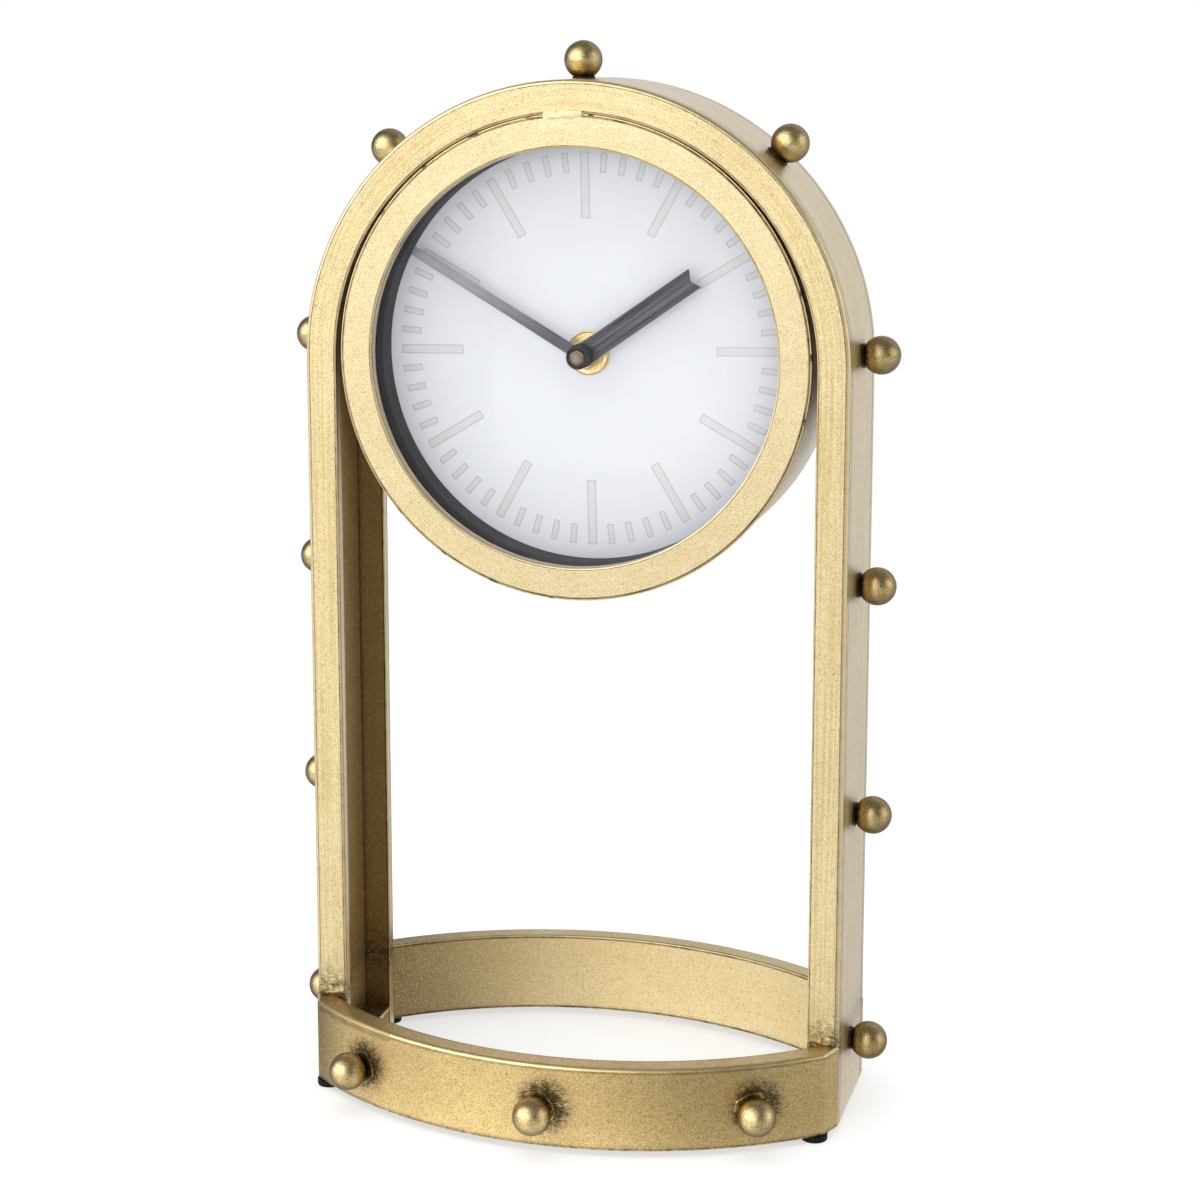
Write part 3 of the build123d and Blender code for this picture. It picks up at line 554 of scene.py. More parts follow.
# Arch: front and rear plates and the web between them, all carried along the same upside-down U
arch = {"flange": 12.2, "web": 2.0, "legStep": 2.0, "arcStep": 1.25, "outerRound": 1.6, "innerRound": 0.6,
        "boreRound": 0.04, "backRound": 0.2, "webRound": 0.25, "studAngles": (2.3, 46.9, 91.3, 135.4, 177.0),
        "legStudShares": (0.712, 0.402, 0.087), "darkening": 0.66, "darkeningRise": 13.0, "halo": 5.5, "seam": 2.2,
        "seamReach": 1.5, "plateShade": 0.76, "webShade": 0.93, "footShade": 0.97, "shadeRise": 40.0}
archBore = archRadius - arch["flange"]
legHeight = archCentre - archBottom


def archPath(radius):
    # Left leg up, half circle over, right leg down, at this radius from the arch's middle line
    legPoints = int(legHeight / arch["legStep"])
    rise = archBottom + legHeight * np.arange(legPoints) / legPoints
    angle = np.radians(np.linspace(180, 0, int(180 / arch["arcStep"]) + 1))
    left = np.stack([np.full(legPoints, -radius), rise], -1)
    over = np.stack([radius * np.cos(angle), archCentre + radius * np.sin(angle)], -1)
    return np.concatenate([left, over, left[::-1] * (-1, 1)])


studAngles = np.radians(arch["studAngles"])
arcWays = np.stack([np.cos(studAngles), np.zeros(5), np.sin(studAngles)], -1)
legHeights = archBottom + np.array(arch["legStudShares"]) * legHeight
legFeet = np.stack([np.full(3, archRadius), np.zeros(3), legHeights], -1)
archStudFeet = np.concatenate([arcWays * archRadius + (0, 0, archCentre), legFeet, legFeet * (-1, 1, 1)])
archStudWays = np.concatenate([arcWays, np.tile((1.0, 0, 0), (3, 1)), np.tile((-1.0, 0, 0), (3, 1))])


def bell(distance, reach):
    return np.exp(-(distance / reach) ** 2)


def haloShadeAndMarks(points, feet, reach):
    # Dark halo round the feet, partly painted shade under the studs and partly weld marks: a bell of the
    # distance from the nearest foot
    return bell(np.linalg.norm(points[:, None] - feet[None], axis=2).min(1), reach)


def legFootDarkening(points):
    # Darker foot of the legs, partly heat stain and partly painted shade where they meet the band: grows over
    # the last few centimetres above the band
    return arch["darkening"] * np.exp(-np.abs(points[:, 2] - bandTop) / arch["darkeningRise"])


def channelShade(points, least):
    # Painted shade: the channel is darker than the faces, most of all near the foot
    above = np.maximum(points[:, 2] - bandTop, 0)
    return least + (arch["footShade"] - least) * np.exp(-above / arch["shadeRise"])


outerPath, borePath = archPath(archRadius), archPath(archBore)
radii = (arch["innerRound"], arch["outerRound"], arch["boreRound"], arch["backRound"])
frontPlate = carried(borePath, outerPath, frontFace, plateBack, radii, (8, 4, 8, 4))
points = frontPlate["points"]
frontPlate["grimeAndShade"] = legFootDarkening(points)
frontPlate["shadeAndTone"] = channelShade(points, arch["plateShade"]) * (np.abs(points[:, 1]) < frontFace * -0.82)
makePiece("archFrontPlate", [frontPlate], antiqueBrass, "arch_front_plate")
makePiece("archRearPlate", [mirrored(frontPlate, 1)], antiqueBrass, "arch_rear_plate")
radii = (arch["boreRound"], arch["boreRound"], arch["webRound"], arch["backRound"])
web = carried(archPath(archRadius - arch["web"]), outerPath, plateBack, -plateBack, radii, (2, 30, 2, 24))
points = web["points"]
inside = np.hypot(points[:, 0], np.maximum(points[:, 2] - archCentre, 0)) < archRadius - 1.5
seam = arch["seam"] * inside * bell(np.abs(points[:, 1]) + plateBack, arch["seamReach"])
shadeAndStains = np.maximum(haloShadeAndMarks(points, archStudFeet, arch["halo"]), legFootDarkening(points) * 0.6)
web["grimeAndShade"], web["shadeAndTone"] = np.maximum(shadeAndStains, seam), channelShade(points, arch["webShade"]) * inside
makePiece("archWeb", [web], antiqueBrass, "arch_web")
print("arch made")

# Foot plates that close the legs' channels
foot = {"gap": 0.1, "round": 0.3, "grimeAndShade": 0.5}
footLow, footHigh = span("foot_plates")
footInner = footHigh[0] - (arch["flange"] - arch["web"] - foot["gap"])
footOutline = roundedLoop([(footInner, footLow[1]), (footHigh[0], footLow[1]), (footHigh[0], footHigh[1]),
                           (footInner, footHigh[1])], [foot["round"]] * 4, (4, 4, 4, 4))[0]
footPlate = slab(footOutline, footLow[2], footHigh[2], foot["round"], upright=True)
# Painted shade: the plates lie deep in the channels, so they take the full tone and more grime
footPlate["shadeAndTone"], footPlate["grimeAndShade"] = footPlate["shadeAndTone"] + 1, footPlate["grimeAndShade"] + foot["grimeAndShade"]
makePiece("footPlates", [footPlate, mirrored(footPlate, 0)], antiqueBrass, "foot_plates")

# Base bands: arc strips whose ends turn in towards the legs
band = {"thickness": 9.0, "endInset": 3.8, "endReach": 10.0, "endRound": 3.2, "roundReach": 4.5,
        "topRound": 1.4, "step": 1.0, "cornerDepth": 5.7, "search": (12, 4000), "studTurnShare": 0.7,
        "studHeightShare": 0.45, "haloShift": (2.4, 0, 1.6), "haloReach": 9.0, "halo": 1.3, "haloDepth": 2.5,
        "lowShade": 0.7, "lowRise": 1.5, "outerTone": 0.05, "leftShade": 0.95, "leftReach": (26.0, 15.0),
        "rightShade": 0.2, "rightPlace": 60, "rightReach": 20.0, "rollPaintEnd": -62, "rearShade": 0.95,
        "rearReach": 62.0, "rearTopShade": 0.3}


def bandStations():
    # Stations run from the left end to the right one. The outer line goes down the slanted end, round its
    # corner and along the arc; the inner line waits at the arc's end while the outer one turns the corner
    rise = frontFace - band["cornerDepth"] - baseFront
    radius = (archRadius ** 2 + rise ** 2) / (2 * rise)
    centre = baseFront + radius
    bore = radius - band["thickness"]
    slope = band["endInset"] / band["endReach"]
    depth = np.linspace(0, *band["search"])
    slanted = np.stack([-archRadius + slope * depth, frontFace - depth], -1)
    corner = slanted[np.argmin(np.abs(np.hypot(slanted[:, 0], slanted[:, 1] - centre) - radius))]
    # the corner's round lies between the slanted end and the arc's chord there
    tangent = unit(np.array([centre - corner[1], corner[0]]))
    tangent = tangent if tangent[0] > 0 else -tangent
    down = unit(np.array([slope, -1.0]))
    turn = np.arccos(np.clip(-(down @ tangent), -1, 1)) / 2
    reach = min(band["endRound"] / np.tan(turn), band["roundReach"])
    startAngle = np.arctan2(corner[1] - centre, corner[0]) + reach / radius
    innerStart = np.arctan2(frontFace - centre, -np.sqrt(bore ** 2 - (centre - frontFace) ** 2))
    count = int(radius * (-pi / 2 - startAngle) * 2 / band["step"])

    def arc(size, start):
        sweep = np.linspace(start, -pi - start, count)
        return np.stack([size * np.cos(sweep), centre + size * np.sin(sweep)], -1)

    arcOuter, arcInner = arc(radius, startAngle), arc(bore, innerStart)
    top, lineEnd = np.array([-archRadius, frontFace]), corner - down * reach
    t = np.linspace(0, 1, 9)[:, None]
    bend = (1 - t) ** 2 * lineEnd + 2 * t * (1 - t) * corner + t ** 2 * arcOuter[0]
    lead = np.concatenate([top + np.linspace(0, 1, 4)[:-1, None] * (lineEnd - top), bend[:-1]])
    waiting = np.tile(arcInner[0], (len(lead), 1))
    outer = np.concatenate([lead, arcOuter, lead[::-1] * (-1, 1)])
    return np.concatenate([waiting, arcInner, waiting * (-1, 1)]), outer, radius, centre


bandInner, bandOuter, bandRadius, bandCentre = bandStations()
studTurn = band["studTurnShare"] * np.arcsin(archRadius / bandRadius) * np.array([-1, 0, 1])
studHeight = bandBottom + band["studHeightShare"] * (bandTop - bandBottom)
bandStudWays = np.stack([np.sin(studTurn), -np.cos(studTurn), np.zeros(3)], -1)
bandStudFeet = bandStudWays * bandRadius + (0, bandCentre, studHeight)


def bandHaloAndLowShade(points, fromCentre):
    # Halos round the studs, on the outer face only, partly painted shade; and painted shade along the lower
    # rim, where the band meets the floor
    halo = band["halo"] * haloShadeAndMarks(points, bandStudFeet + band["haloShift"], band["haloReach"])
    low = band["lowShade"] * np.exp(-(points[:, 2] - bandBottom) / band["lowRise"])
    return np.maximum(halo * (fromCentre > bandRadius - band["haloDepth"]), low)


def bandShade(points, fromCentre):
    # Darker outer face; painted shade near the left leg, reaching further on the top, and on the outer face's
    # right part, which turns away from the light
    outer = band["outerTone"] * (fromCentre > bandRadius - 0.5)
    reach = np.where(points[:, 2] > bandTop - 0.3, *band["leftReach"])
    left = band["leftShade"] * bell(points[:, 0] + archRadius, reach)
    right = band["rightShade"] * bell(points[:, 0] - band["rightPlace"], band["rightReach"])
    return np.clip(np.maximum(outer, left) + right * (outer > 0), 0, 1)


frontBand = carried(bandInner, bandOuter, bandBottom, bandTop, (0.4, 0.7, band["topRound"], 0.5),
                    (6, 24, 8, 12), upright=True)
points = frontBand["points"]
fromCentre = np.hypot(points[:, 0], points[:, 1] - bandCentre)
# Left part of the outer face's top roll: the edge distance is stretched, so the rubbed colour spreads over the
# roll as a painted highlight, with soft painted shade below it
below = 0.35 * (bandTop - band["topRound"] - 0.3 - points[:, 2])
rollHighlightAndShade = (fromCentre > bandRadius - 1.2) & (below < 1.5) & (points[:, 0] < band["rollPaintEnd"])
frontBand["edge"] = np.where(rollHighlightAndShade, below, frontBand["edge"])
frontBand["grimeAndShade"], frontBand["shadeAndTone"] = bandHaloAndLowShade(points, fromCentre), bandShade(points, fromCentre)
makePiece("baseFrontBand", [frontBand], baseBrass, "base_front_band")
rearBand = mirrored(frontBand, 1)
points = rearBand["points"]
# Painted shade over the left part of the rear band and on its top
darkening = band["rearShade"] * bell(points[:, 0] + archRadius, band["rearReach"])
rearBand["grimeAndShade"] = rearBand["grimeAndShade"] * (points[:, 1] > 0) * 0.8
rearBand["shadeAndTone"] = np.maximum(darkening, band["rearTopShade"] * (points[:, 2] > bandTop - 0.3))
makePiece("baseRearBand", [rearBand], rearBrassLit, "base_rear_band")

# Weld beads where the legs stand behind the bands: half an ellipse on the leg's face, in overlapping lumps
weld = {"proud": 0.8, "rise": 3.9, "drop": 1.5, "stations": 110, "endInset": (0.3, 0.9), "taper": 0.8,
        "sink": 0.2, "lowShade": 0.9, "highGrime": 0.45, "grimeHeight": 0.7}


def weldBead():
    # The size wanders by two sines of the way along, and the skin by the product of two more across it
    start, end = archBore + weld["endInset"][0], archRadius - weld["endInset"][1]
    along = np.linspace(start, end, weld["stations"])
    size = 0.9 + 0.07 * np.sin(along * 0.9) + 0.02 * np.sin(along * 2.3 + 1)
    for fromEnd in (along - start, end - along):
        size = size * np.clip(fromEnd / weld["taper"], 0.3, 1) ** 0.5
    turn = np.linspace(-pi / 2, pi / 2, 17)
    high = np.where(turn > 0, weld["rise"], weld["drop"])
    along, size = along[:, None], size[:, None]
    crumple = 1 + 0.3 * np.sin(1.1 * along + 2.6 * turn) * np.sin(0.6 * along - 4.1 * turn + 1)
    root = np.ones((len(along), 1))
    y = np.concatenate([root * -weld["sink"], size * weld["proud"] * np.cos(turn) * crumple], 1)
    z = np.concatenate([root * 0, size * high * np.sin(turn)], 1)
    points = np.stack([np.broadcast_to(along, y.shape), frontFace - y, bandTop + z], -1)
    bead = gridPatch(points, 3.0, along[:, 0], np.linspace(0, 5, 19))
    # Painted shade on the bead's lower half, under its crest
    bead["grimeAndShade"] = np.where(z < weld["grimeHeight"], weld["lowShade"], weld["highGrime"]).reshape(-1)
    return bead


beads = [weldBead()]
beads += [mirrored(bead, 0) for bead in beads]
beads += [mirrored(bead, 1) for bead in beads]
makePiece("footWelds", beads, baseBrass, "foot_welds")

# Rubber pads
padHigh = span("rubber_pads")[1]
pad = {"radius": 5.0, "sink": 0.05, "steps": 32}
padTop = padHigh[2]
padProfile = [(0.2, 0), (4.4, 0), (4.85, 0.15), (pad["radius"], 0.6), (pad["radius"], padTop - pad["sink"]),
              (0.2, padTop)]
padX, padY = padHigh[:2] - pad["radius"]
pads = [placed(turned(padProfile, pad["steps"]), (sx * padX, sy * padY, 0), (0, 0, 1))
        for sx in (-1, 1) for sy in (-1, 1)]
makePiece("rubberPads", pads, rubberBlack, "rubber_pads")
print("base made")

# Ball studs: a smooth ball on a lumpy weld ring
stud = {"radius": 7.2, "seat": 6.9, "ringRadius": 3.9, "sides": 48, "rows": 26, "flank": 5.2,
        "flankGrime": 0.55, "grimeAndShade": 1.1, "grimeRise": 3.2, "haze": 0.12, "skirt": 2.5, "rightShade": 0.35}


def studPatch(seed, skirt):
    # Ball profile: radius cos(latitude), height sin(latitude); below it the weld ring, whose radius wanders
    # by a few sines of the turning angle
    start = -np.arccos(stud["ringRadius"] / stud["radius"])
    latitude = np.linspace(start, pi / 2 - 0.02, stud["rows"])
    ball = np.stack([stud["radius"] * np.cos(latitude), stud["seat"] + stud["radius"] * np.sin(latitude)], -1)
    lift = ball[0, 1]
    ring = np.array([(0.5, 0), (4.25, 0), (4.5, 0.12), (4.62, 0.4), (4.45, 0.68), (4.1, lift - 0.02)])
    ring[1:5, 0] += skirt
    patch = turned(np.concatenate([ring, ball]), stud["sides"])
    points = patch["points"].reshape(-1, stud["sides"], 3)
    angle = 2 * pi * np.arange(stud["sides"]) / stud["sides"]
    wander = 1 + 0.05 * np.sin(2 * angle + seed) + 0.035 * np.sin(5 * angle + 2.1 * seed)
    points[1:6, :, :2] *= (wander + 0.02 * np.sin(9 * angle + seed))[None, :, None]
    x, y, height = patch["points"].T
    # Dark at the ball's foot and fading up the ball: partly weld discolouration, partly painted shade where
    # the ball meets its weld ring
    weldLine = np.where((height < lift) & (np.hypot(x, y) > stud["flank"]), stud["flankGrime"], stud["grimeAndShade"])
    patch["grimeAndShade"] = np.clip(weldLine - height / stud["grimeRise"], 0, 1) + stud["haze"]
    return patch


def studs(name, feet, ways, node, seed, skirt=0.0):
    # Those on the right leg get painted shade, as the leg keeps the light from them
    patches = []
    for k, (foot, way) in enumerate(zip(feet, ways)):
        patch = placed(studPatch(seed + 1.7 * k, skirt), foot, way)
        patch["shadeAndTone"] += stud["rightShade"] * (foot[0] > archRadius - 0.5)
        patches.append(patch)
    makePiece(name, patches, studBrass, node)


studs("archStuds", archStudFeet, archStudWays, "arch_studs", 0.3)
studs("frontStuds", bandStudFeet, bandStudWays, "front_studs", 2.2, stud["skirt"])
studs("rearStuds", bandStudFeet * (1, -1, 1), bandStudWays * (1, -1, 1), "rear_studs", 5.1, stud["skirt"])
print("studs made")

# Drum: ring, shell, bridges, tabs and the stack behind the glass
drum = {"ringWidth": 11.9, "shell": 2.0, "outerRound": 0.5, "innerRound": 0.7, "steps": 288, "boreShade": 0.6,
        "slotShade": 1.3, "sideDepth": 1.3, "shellFrontShade": 0.8, "shellReach": 3.0, "lip": (0.3, 0.5),
        "lipDepth": (0.45, 1.1), "lipGrime": 1.2}


def circle(radius, steps):
    angle = 2 * pi * np.arange(steps) / steps
    return hub + np.stack([np.cos(angle), np.sin(angle)], -1) * np.broadcast_to(radius, (steps,))[:, None]


def hubRing(inner, outer, front, back, radii, flatSteps=(4, 4, 4, 4), steps=drum["steps"]):
    return carried(circle(inner, steps), circle(outer, steps), front, back, radii, flatSteps, closed=True)


def ringPiece(name, node, inner, radii, material, flatSteps=(4, 4, 4, 4), steps=drum["steps"],
              outer=None):
    # Ring that takes its levels from its node, and its outer radius too where none is given
    low, high = span(node)
    patch = hubRing(inner, high[0] if outer is None else outer, low[1], high[1], radii, flatSteps, steps)
    makePiece(name, [patch], material, node)


ringLow, ringHigh = span("front_ring")
shellLow, shellHigh = span("drum_shell")
ringRadius, shellRadius, ringFront = ringHigh[0], shellHigh[0], ringLow[1]
ringBore = ringRadius - drum["ringWidth"]
radii = (drum["innerRound"], drum["outerRound"], 0.1, 0.1)
ring = hubRing(ringBore, ringRadius, ringFront, ringHigh[1], radii, (10, 10, 4, 4))
x, y, z = ring["points"].T
fromHub = np.hypot(x, z - hub[1])
# Painted shade on the bore's wall, and on the outer side deep in the slot, which also takes the edge's full
# shade line
ring["shadeAndTone"] = drum["boreShade"] * (fromHub < ringBore + 0.05)
ring["grimeAndShade"] = drum["slotShade"] * ((fromHub > ringRadius - 0.05) & (y > ringFront + drum["sideDepth"]))
ring["edge"] = np.where(fromHub > ringRadius - 0.4, 0.0, ring["edge"])
makePiece("frontRing", [ring], ringBrass, "front_ring")
lip = hubRing(ringRadius - drum["lip"][0], ringRadius + drum["lip"][1], ringFront + drum["lipDepth"][0],
              ringFront + drum["lipDepth"][1], (0.1, 0.3, 0.3, 0.1))
lipAngle = np.arctan2(lip["points"][:, 2] - hub[1], lip["points"][:, 0])
lip["grimeAndShade"] = drum["lipGrime"] * (np.sin(37 * lipAngle) * np.sin(11.3 * lipAngle + 1) > 0.86)
makePiece("seamLip", [lip], lipGold)
shell = hubRing(shellRadius - drum["shell"], shellRadius, shellLow[1], shellHigh[1], (0.1, 0.1, 0.5, 0.4),
                (3, 24, 3, 12))
# Painted shade at the front of the shell, where it meets the ring
shell["grimeAndShade"] = drum["shellFrontShade"] * np.exp(-(shell["points"][:, 1] - shellLow[1]) / drum["shellReach"])
makePiece("drumShell", [shell], antiqueBrass, "drum_shell")

bridge = {"angle": 91.85, "half": 4.85, "steps": 28, "skinHalf": 5.45, "overlap": 1.0, "ringOverlap": 1.6}


def archFromHub(angle, radius):
    # Distance from the hub, along each angle, to a circle about the arch's own centre
    drop = hub[1] - archCentre
    return -drop * np.sin(angle) + np.sqrt(radius ** 2 - (drop * np.cos(angle)) ** 2)


def bridgePatch(inner, front, back):
    # Sector between the drum and the arch's own circle
    angle = np.radians(bridge["angle"] + bridge["half"] * np.linspace(-1, 1, bridge["steps"]))
    way = np.stack([np.cos(angle), np.sin(angle)], -1)
    outer = archFromHub(angle, archBore)[:, None]
    return carried(hub + way * inner, hub + way * outer, front, back, (0.1, 0.1, 0.1, 0.1), (4, 3, 4, 3))


def weldSkin():
    # Smoothed weld between the ring's face and the arch's: y = face + 0.02 - 0.09 w(u) w(v) plus wrinkles,
    # where w(t) = 1 - t^4 for t from -1 to 1; past its ends in the slot the skin falls away
    u, v = np.meshgrid(np.linspace(-1, 1, 61), np.linspace(-1, 1, 25), indexing="ij")
    angle = np.radians(bridge["angle"] + bridge["skinHalf"] * u)
    inner, outer = ringRadius - bridge["ringOverlap"], archFromHub(angle, archBore + bridge["overlap"])
    radius = inner + (outer - inner) * (v + 1) / 2
    window = (1 - u ** 4) * (1 - v ** 4)
    wrinkle = np.sin(5.3 * u + 1.4 * v) * np.sin(2.1 * v - 3.1 * u + 0.7) + 0.5 * np.sin(9.7 * u - 2.3 * v)
    fall = 1.1 * np.clip(np.abs(u) - 0.86, 0, 1) / 0.14
    y = ringFront + 0.02 - 0.09 * window + 0.06 * wrinkle * window + fall
    front = np.stack([hub[0] + radius * np.cos(angle), y, hub[1] + radius * np.sin(angle)], -1)
    rear = front[:, ::-1].copy()
    rear[..., 1] = ringHigh[1]
    return gridPatch(np.concatenate([front, rear], 1), 3.0, np.linspace(0, 18, 62), np.linspace(0, 10, 51))


makePiece("frontBridge", [weldSkin()], ringBrass, "front_bridge")
makePiece("rearBridge", [bridgePatch(shellRadius, -ringHigh[1], -ringFront)], antiqueBrass, "rear_bridge")
easedCopy("boardTabs", "board_tabs", 0.3, antiqueBrass)

stack = {"glassRound": 0.3, "gasketInset": 0.3, "spacerInset": 1.0, "boardHole": 4.1}


def hubDisc(radius, front, back, rounding, steps=192):
    # Disc on the hub's axis, with quarter-circle rims
    turn = np.linspace(0, pi / 2, 5)
    rim = np.stack([radius - rounding * (1 - np.sin(turn)), rounding * (1 - np.cos(turn))], -1)
    depth = back - front
    backRim = (rim * (1, -1) + (0, depth))[::-1]
    profile = np.concatenate([[(0.3, 0), (radius / 2, 0)], rim, backRim, [(radius / 2, depth), (0.3, depth)]])
    patch = turned(profile, steps)
    x, z, y = patch["points"].T
    return {**patch, "points": np.stack([x, front + y, hub[1] + z], -1)}


dialFace = span("dial_board")[0][1]
disc = hubDisc(glassHigh[0], glassLow[1], glassHigh[1], stack["glassRound"])
makePiece("glassDisc", [disc], clearGlass, "glass")
ringPiece("glassGasket", "glass_gasket", ringBore + stack["gasketInset"], (0.5, 0.2, 0.2, 0.8), rubberBlack)
ringPiece("dialSpacer", "dial_spacer", ringBore + stack["spacerInset"], (0.3, 0.2, 0.2, 0.3), spacerGrey)
ringPiece("dialBoard", "dial_board", stack["boardHole"], (0.1, 0.1, 0.2, 0.1), dialWhite,
          (12, 3, 12, 3))

# Dial marks: sixty thin printed bars that end on one circle
marks = {"end": 75.0, "hourLength": 25.0, "hourWidth": 3.5, "minuteLength": 7.7, "minuteWidth": 2.5,
         "thickness": 0.06, "rim": 0.45, "turn": 1.3, "lift": 1.0}


def markBars():
    # Each bar is a box: (along, across) in its own frame, turned by its angle about the hub, with an inset
    # top whose rim carries the outline
    index = np.arange(60)
    hourly = (index % 5 == 0)[:, None]
    length = np.where(hourly, marks["hourLength"], marks["minuteLength"])[:, :, None]
    width = np.where(hourly, marks["hourWidth"], marks["minuteWidth"])[:, :, None]
    signU, signV = np.array([-1, 1, 1, -1]), np.array([-1, -1, 1, 1])
    inset = np.array([0, 0, marks["rim"]])[None, :, None]
    along = marks["end"] - length / 2 + signU * (length / 2 - inset)
    across = signV * (width / 2 - inset)
    angle = (index * 2 * pi / 60 + radians(marks["turn"]))[:, None, None]
    x = along * np.cos(angle) - across * np.sin(angle)
    z = along * np.sin(angle) + across * np.cos(angle)
    y = np.broadcast_to(dialFace - marks["thickness"] * np.array([-0.3, 1, 1])[None, :, None], x.shape)
    points = np.stack([x, y, hub[1] + marks["lift"] + z], -1).reshape(-1, 3)
    k = np.arange(4)
    sides = np.stack([k, (k + 1) % 4, (k + 1) % 4 + 4, k + 4], -1)
    quads = np.concatenate([sides, sides + 4, [[3, 2, 1, 0]], [[8, 9, 10, 11]]])
    quads = (quads[None] + 12 * index[:, None, None]).reshape(-1, 4)
    edge = np.tile(np.repeat([0.0, 0.0, marks["rim"]], 4), len(index))
    return newPatch(points, quads, points[quads][..., [0, 2]], [], edge)


makePiece("dialMarks", [markBars()], markPearl, sharp=20)
print("drum and dial made")


# Hub: bush, washer and nuts
def hexRadius(flats, steps):
    # Distance from the middle to the side of a hexagon
    angle = 2 * pi * np.arange(steps) / steps
    return flats / 2 / np.cos((angle + pi / 6) % (pi / 3) - pi / 6)


bush = {"bore": 2.55, "radius": 4.0, "clearance": 0.1, "nutFlats": 11.0, "steps": 96, "nutSteps": 144}
ringPiece("bushWasher", "bush_washer", bush["radius"] + bush["clearance"], (0.1, 0.3, 0.1, 0.1), polishedBrass,
          (6, 3, 3, 3), bush["steps"])
ringPiece("bushNut", "bush_nut", bush["radius"], (0.3, 0.35, 0.2, 0.1), polishedBrass,
          steps=bush["nutSteps"], outer=hexRadius(bush["nutFlats"], bush["nutSteps"]))
ringPiece("centreBush", "centre_bush", bush["bore"], (0.2, 0.3, 0.1, 0.1), polishedBrass,
          (3, 8, 3, 4), bush["steps"], bush["radius"])

# Hands: flat bars with eased edges, on their collars
hands = {"hour": 1, "minute": 50, "thickness": 0.6, "hourLength": 53.0, "hourWidth": 8.4, "notch": 2.2,
         "tail": 3.2, "minuteTipGap": 1.8, "minuteWidth": 4.4, "minuteTip": 3.4, "rise": 8.6, "gap": 0.7,
         "edge": 0.1, "nutFlats": 4.8, "nutSink": 1.5}
minuteAngle = radians(90 - 6 * hands["minute"])
hourAngle = radians(90 - 30 * hands["hour"] - hands["minute"] / 2)
hourBack = dialFace - hands["rise"]
hourFront = hourBack - hands["thickness"]
minuteBack = hourFront - hands["gap"]
minuteFront = minuteBack - hands["thickness"]


def turnedOutline(corners, radii, angle):
    flat = roundedLoop(corners, radii, [6] * len(corners), 3)[0]
    turn = np.array([[np.cos(angle), np.sin(angle)], [-np.sin(angle), np.cos(angle)]])
    return hub + flat @ turn


def hubCollar(inner, outer, front, back, radii, flatSteps=(3, 3, 3, 3)):
    return hubRing(inner, outer, front, back, radii, flatSteps, bush["steps"])


charcoalHour = handMaterial(
    "charcoalHour", hourAngle, dark=(0.003, 0.004, 0.006), light=(0.075, 0.078, 0.09), tip=(0.06, 0.062, 0.07),
    fade=0.3)
charcoalMinute = handMaterial(
    "charcoalMinute", minuteAngle, dark=(0.014, 0.015, 0.018), light=(0.11, 0.114, 0.124),
    tip=(0.27, 0.275, 0.29), fade=0.75)
handNutLow, handNutHigh = span("hand_nut")
minuteLow, hourHigh = span("minute_hand")[0], span("hour_hand")[1]
reach, half, tail = hands["hourLength"], hands["hourWidth"] / 2, -hands["tail"]
corners = [(tail, -half + 1), (0, -half), (reach, -half), (reach - hands["notch"], 0), (reach, half),
           (0, half), (tail, half - 1)]
hourOutline = turnedOutline(corners, (0.8, 0.5, 0.15, 0.2, 0.15, 0.5, 0.8), hourAngle)
hourHand = [slab(hourOutline, hourFront, hourBack, hands["edge"]),
            hubCollar(2.6, 4.1, hourBack - 0.1, hourHigh[1], (0.1, 0.3, 0.3, 0.1))]
makePiece("hourHand", hourHand, charcoalHour, "hour_hand", "hour_set")
reach, half, tip = ringBore - hands["minuteTipGap"], hands["minuteWidth"] / 2, hands["minuteTip"] / 2
corners = [(0, -half), (reach, -tip), (reach, tip), (0, half)]
minuteOutline = turnedOutline(corners, (0.3, 0.15, 0.15, 0.3), minuteAngle)
minuteHand = slab(minuteOutline, minuteFront, minuteBack, hands["edge"])
makePiece("minuteHand", [minuteHand], charcoalMinute, "minute_hand", "minute_set")
collars = [hubCollar(1.7, 4.6, minuteFront - 0.15, minuteBack, (0.1, 0.2, 0.2, 0.1)),
           hubCollar(2.3, 3.8, minuteLow[1] + 0.2, minuteFront - 0.1, (0.25, 0.35, 0.1, 0.1), (3, 6, 3, 6)),
           hubCollar(2.3, 4.5, minuteLow[1], minuteLow[1] + 1.7, (0.3, 0.4, 0.3, 0.1))]
makePiece("minuteCollar", collars, collarBlack, body="minute_set")
handNut = hubCollar(1.4, hexRadius(hands["nutFlats"], bush["steps"]), handNutLow[1],
                    handNutHigh[1] + hands["nutSink"], (0.15, 0.2, 0.05, 0.05))
makePiece("handNut", [handNut], nutBronze, "hand_nut", "minute_set")
print("hands made")

# Movement, seen through the open back of the drum
easedCopy("movementCase", "movement_case", 0.35, movementBlack)
easedCopy("movementCover", "movement_cover", 0.3, movementBlack)
easedCopy("positiveContact", "positive_contact", 0.1, steelGrey, segments=2)
easedCopy("negativeContact", "negative_contact", 0.1, steelGrey, segments=2)
easedCopy("settingKnob", "setting_knob", 0.25, movementBlack, "setting_set", 2)
nodeFinish = {"minute_arbor": steelGrey, "hour_wheel": gearWhite, "setting_wheel": gearWhite,
              "train_plate": movementBlack, "circuit_board": circuitGreen, "coil": copperWinding}
for node, material in nodeFinish.items():
    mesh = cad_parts[node].data
    mesh.materials.clear()
    mesh.materials.append(material)

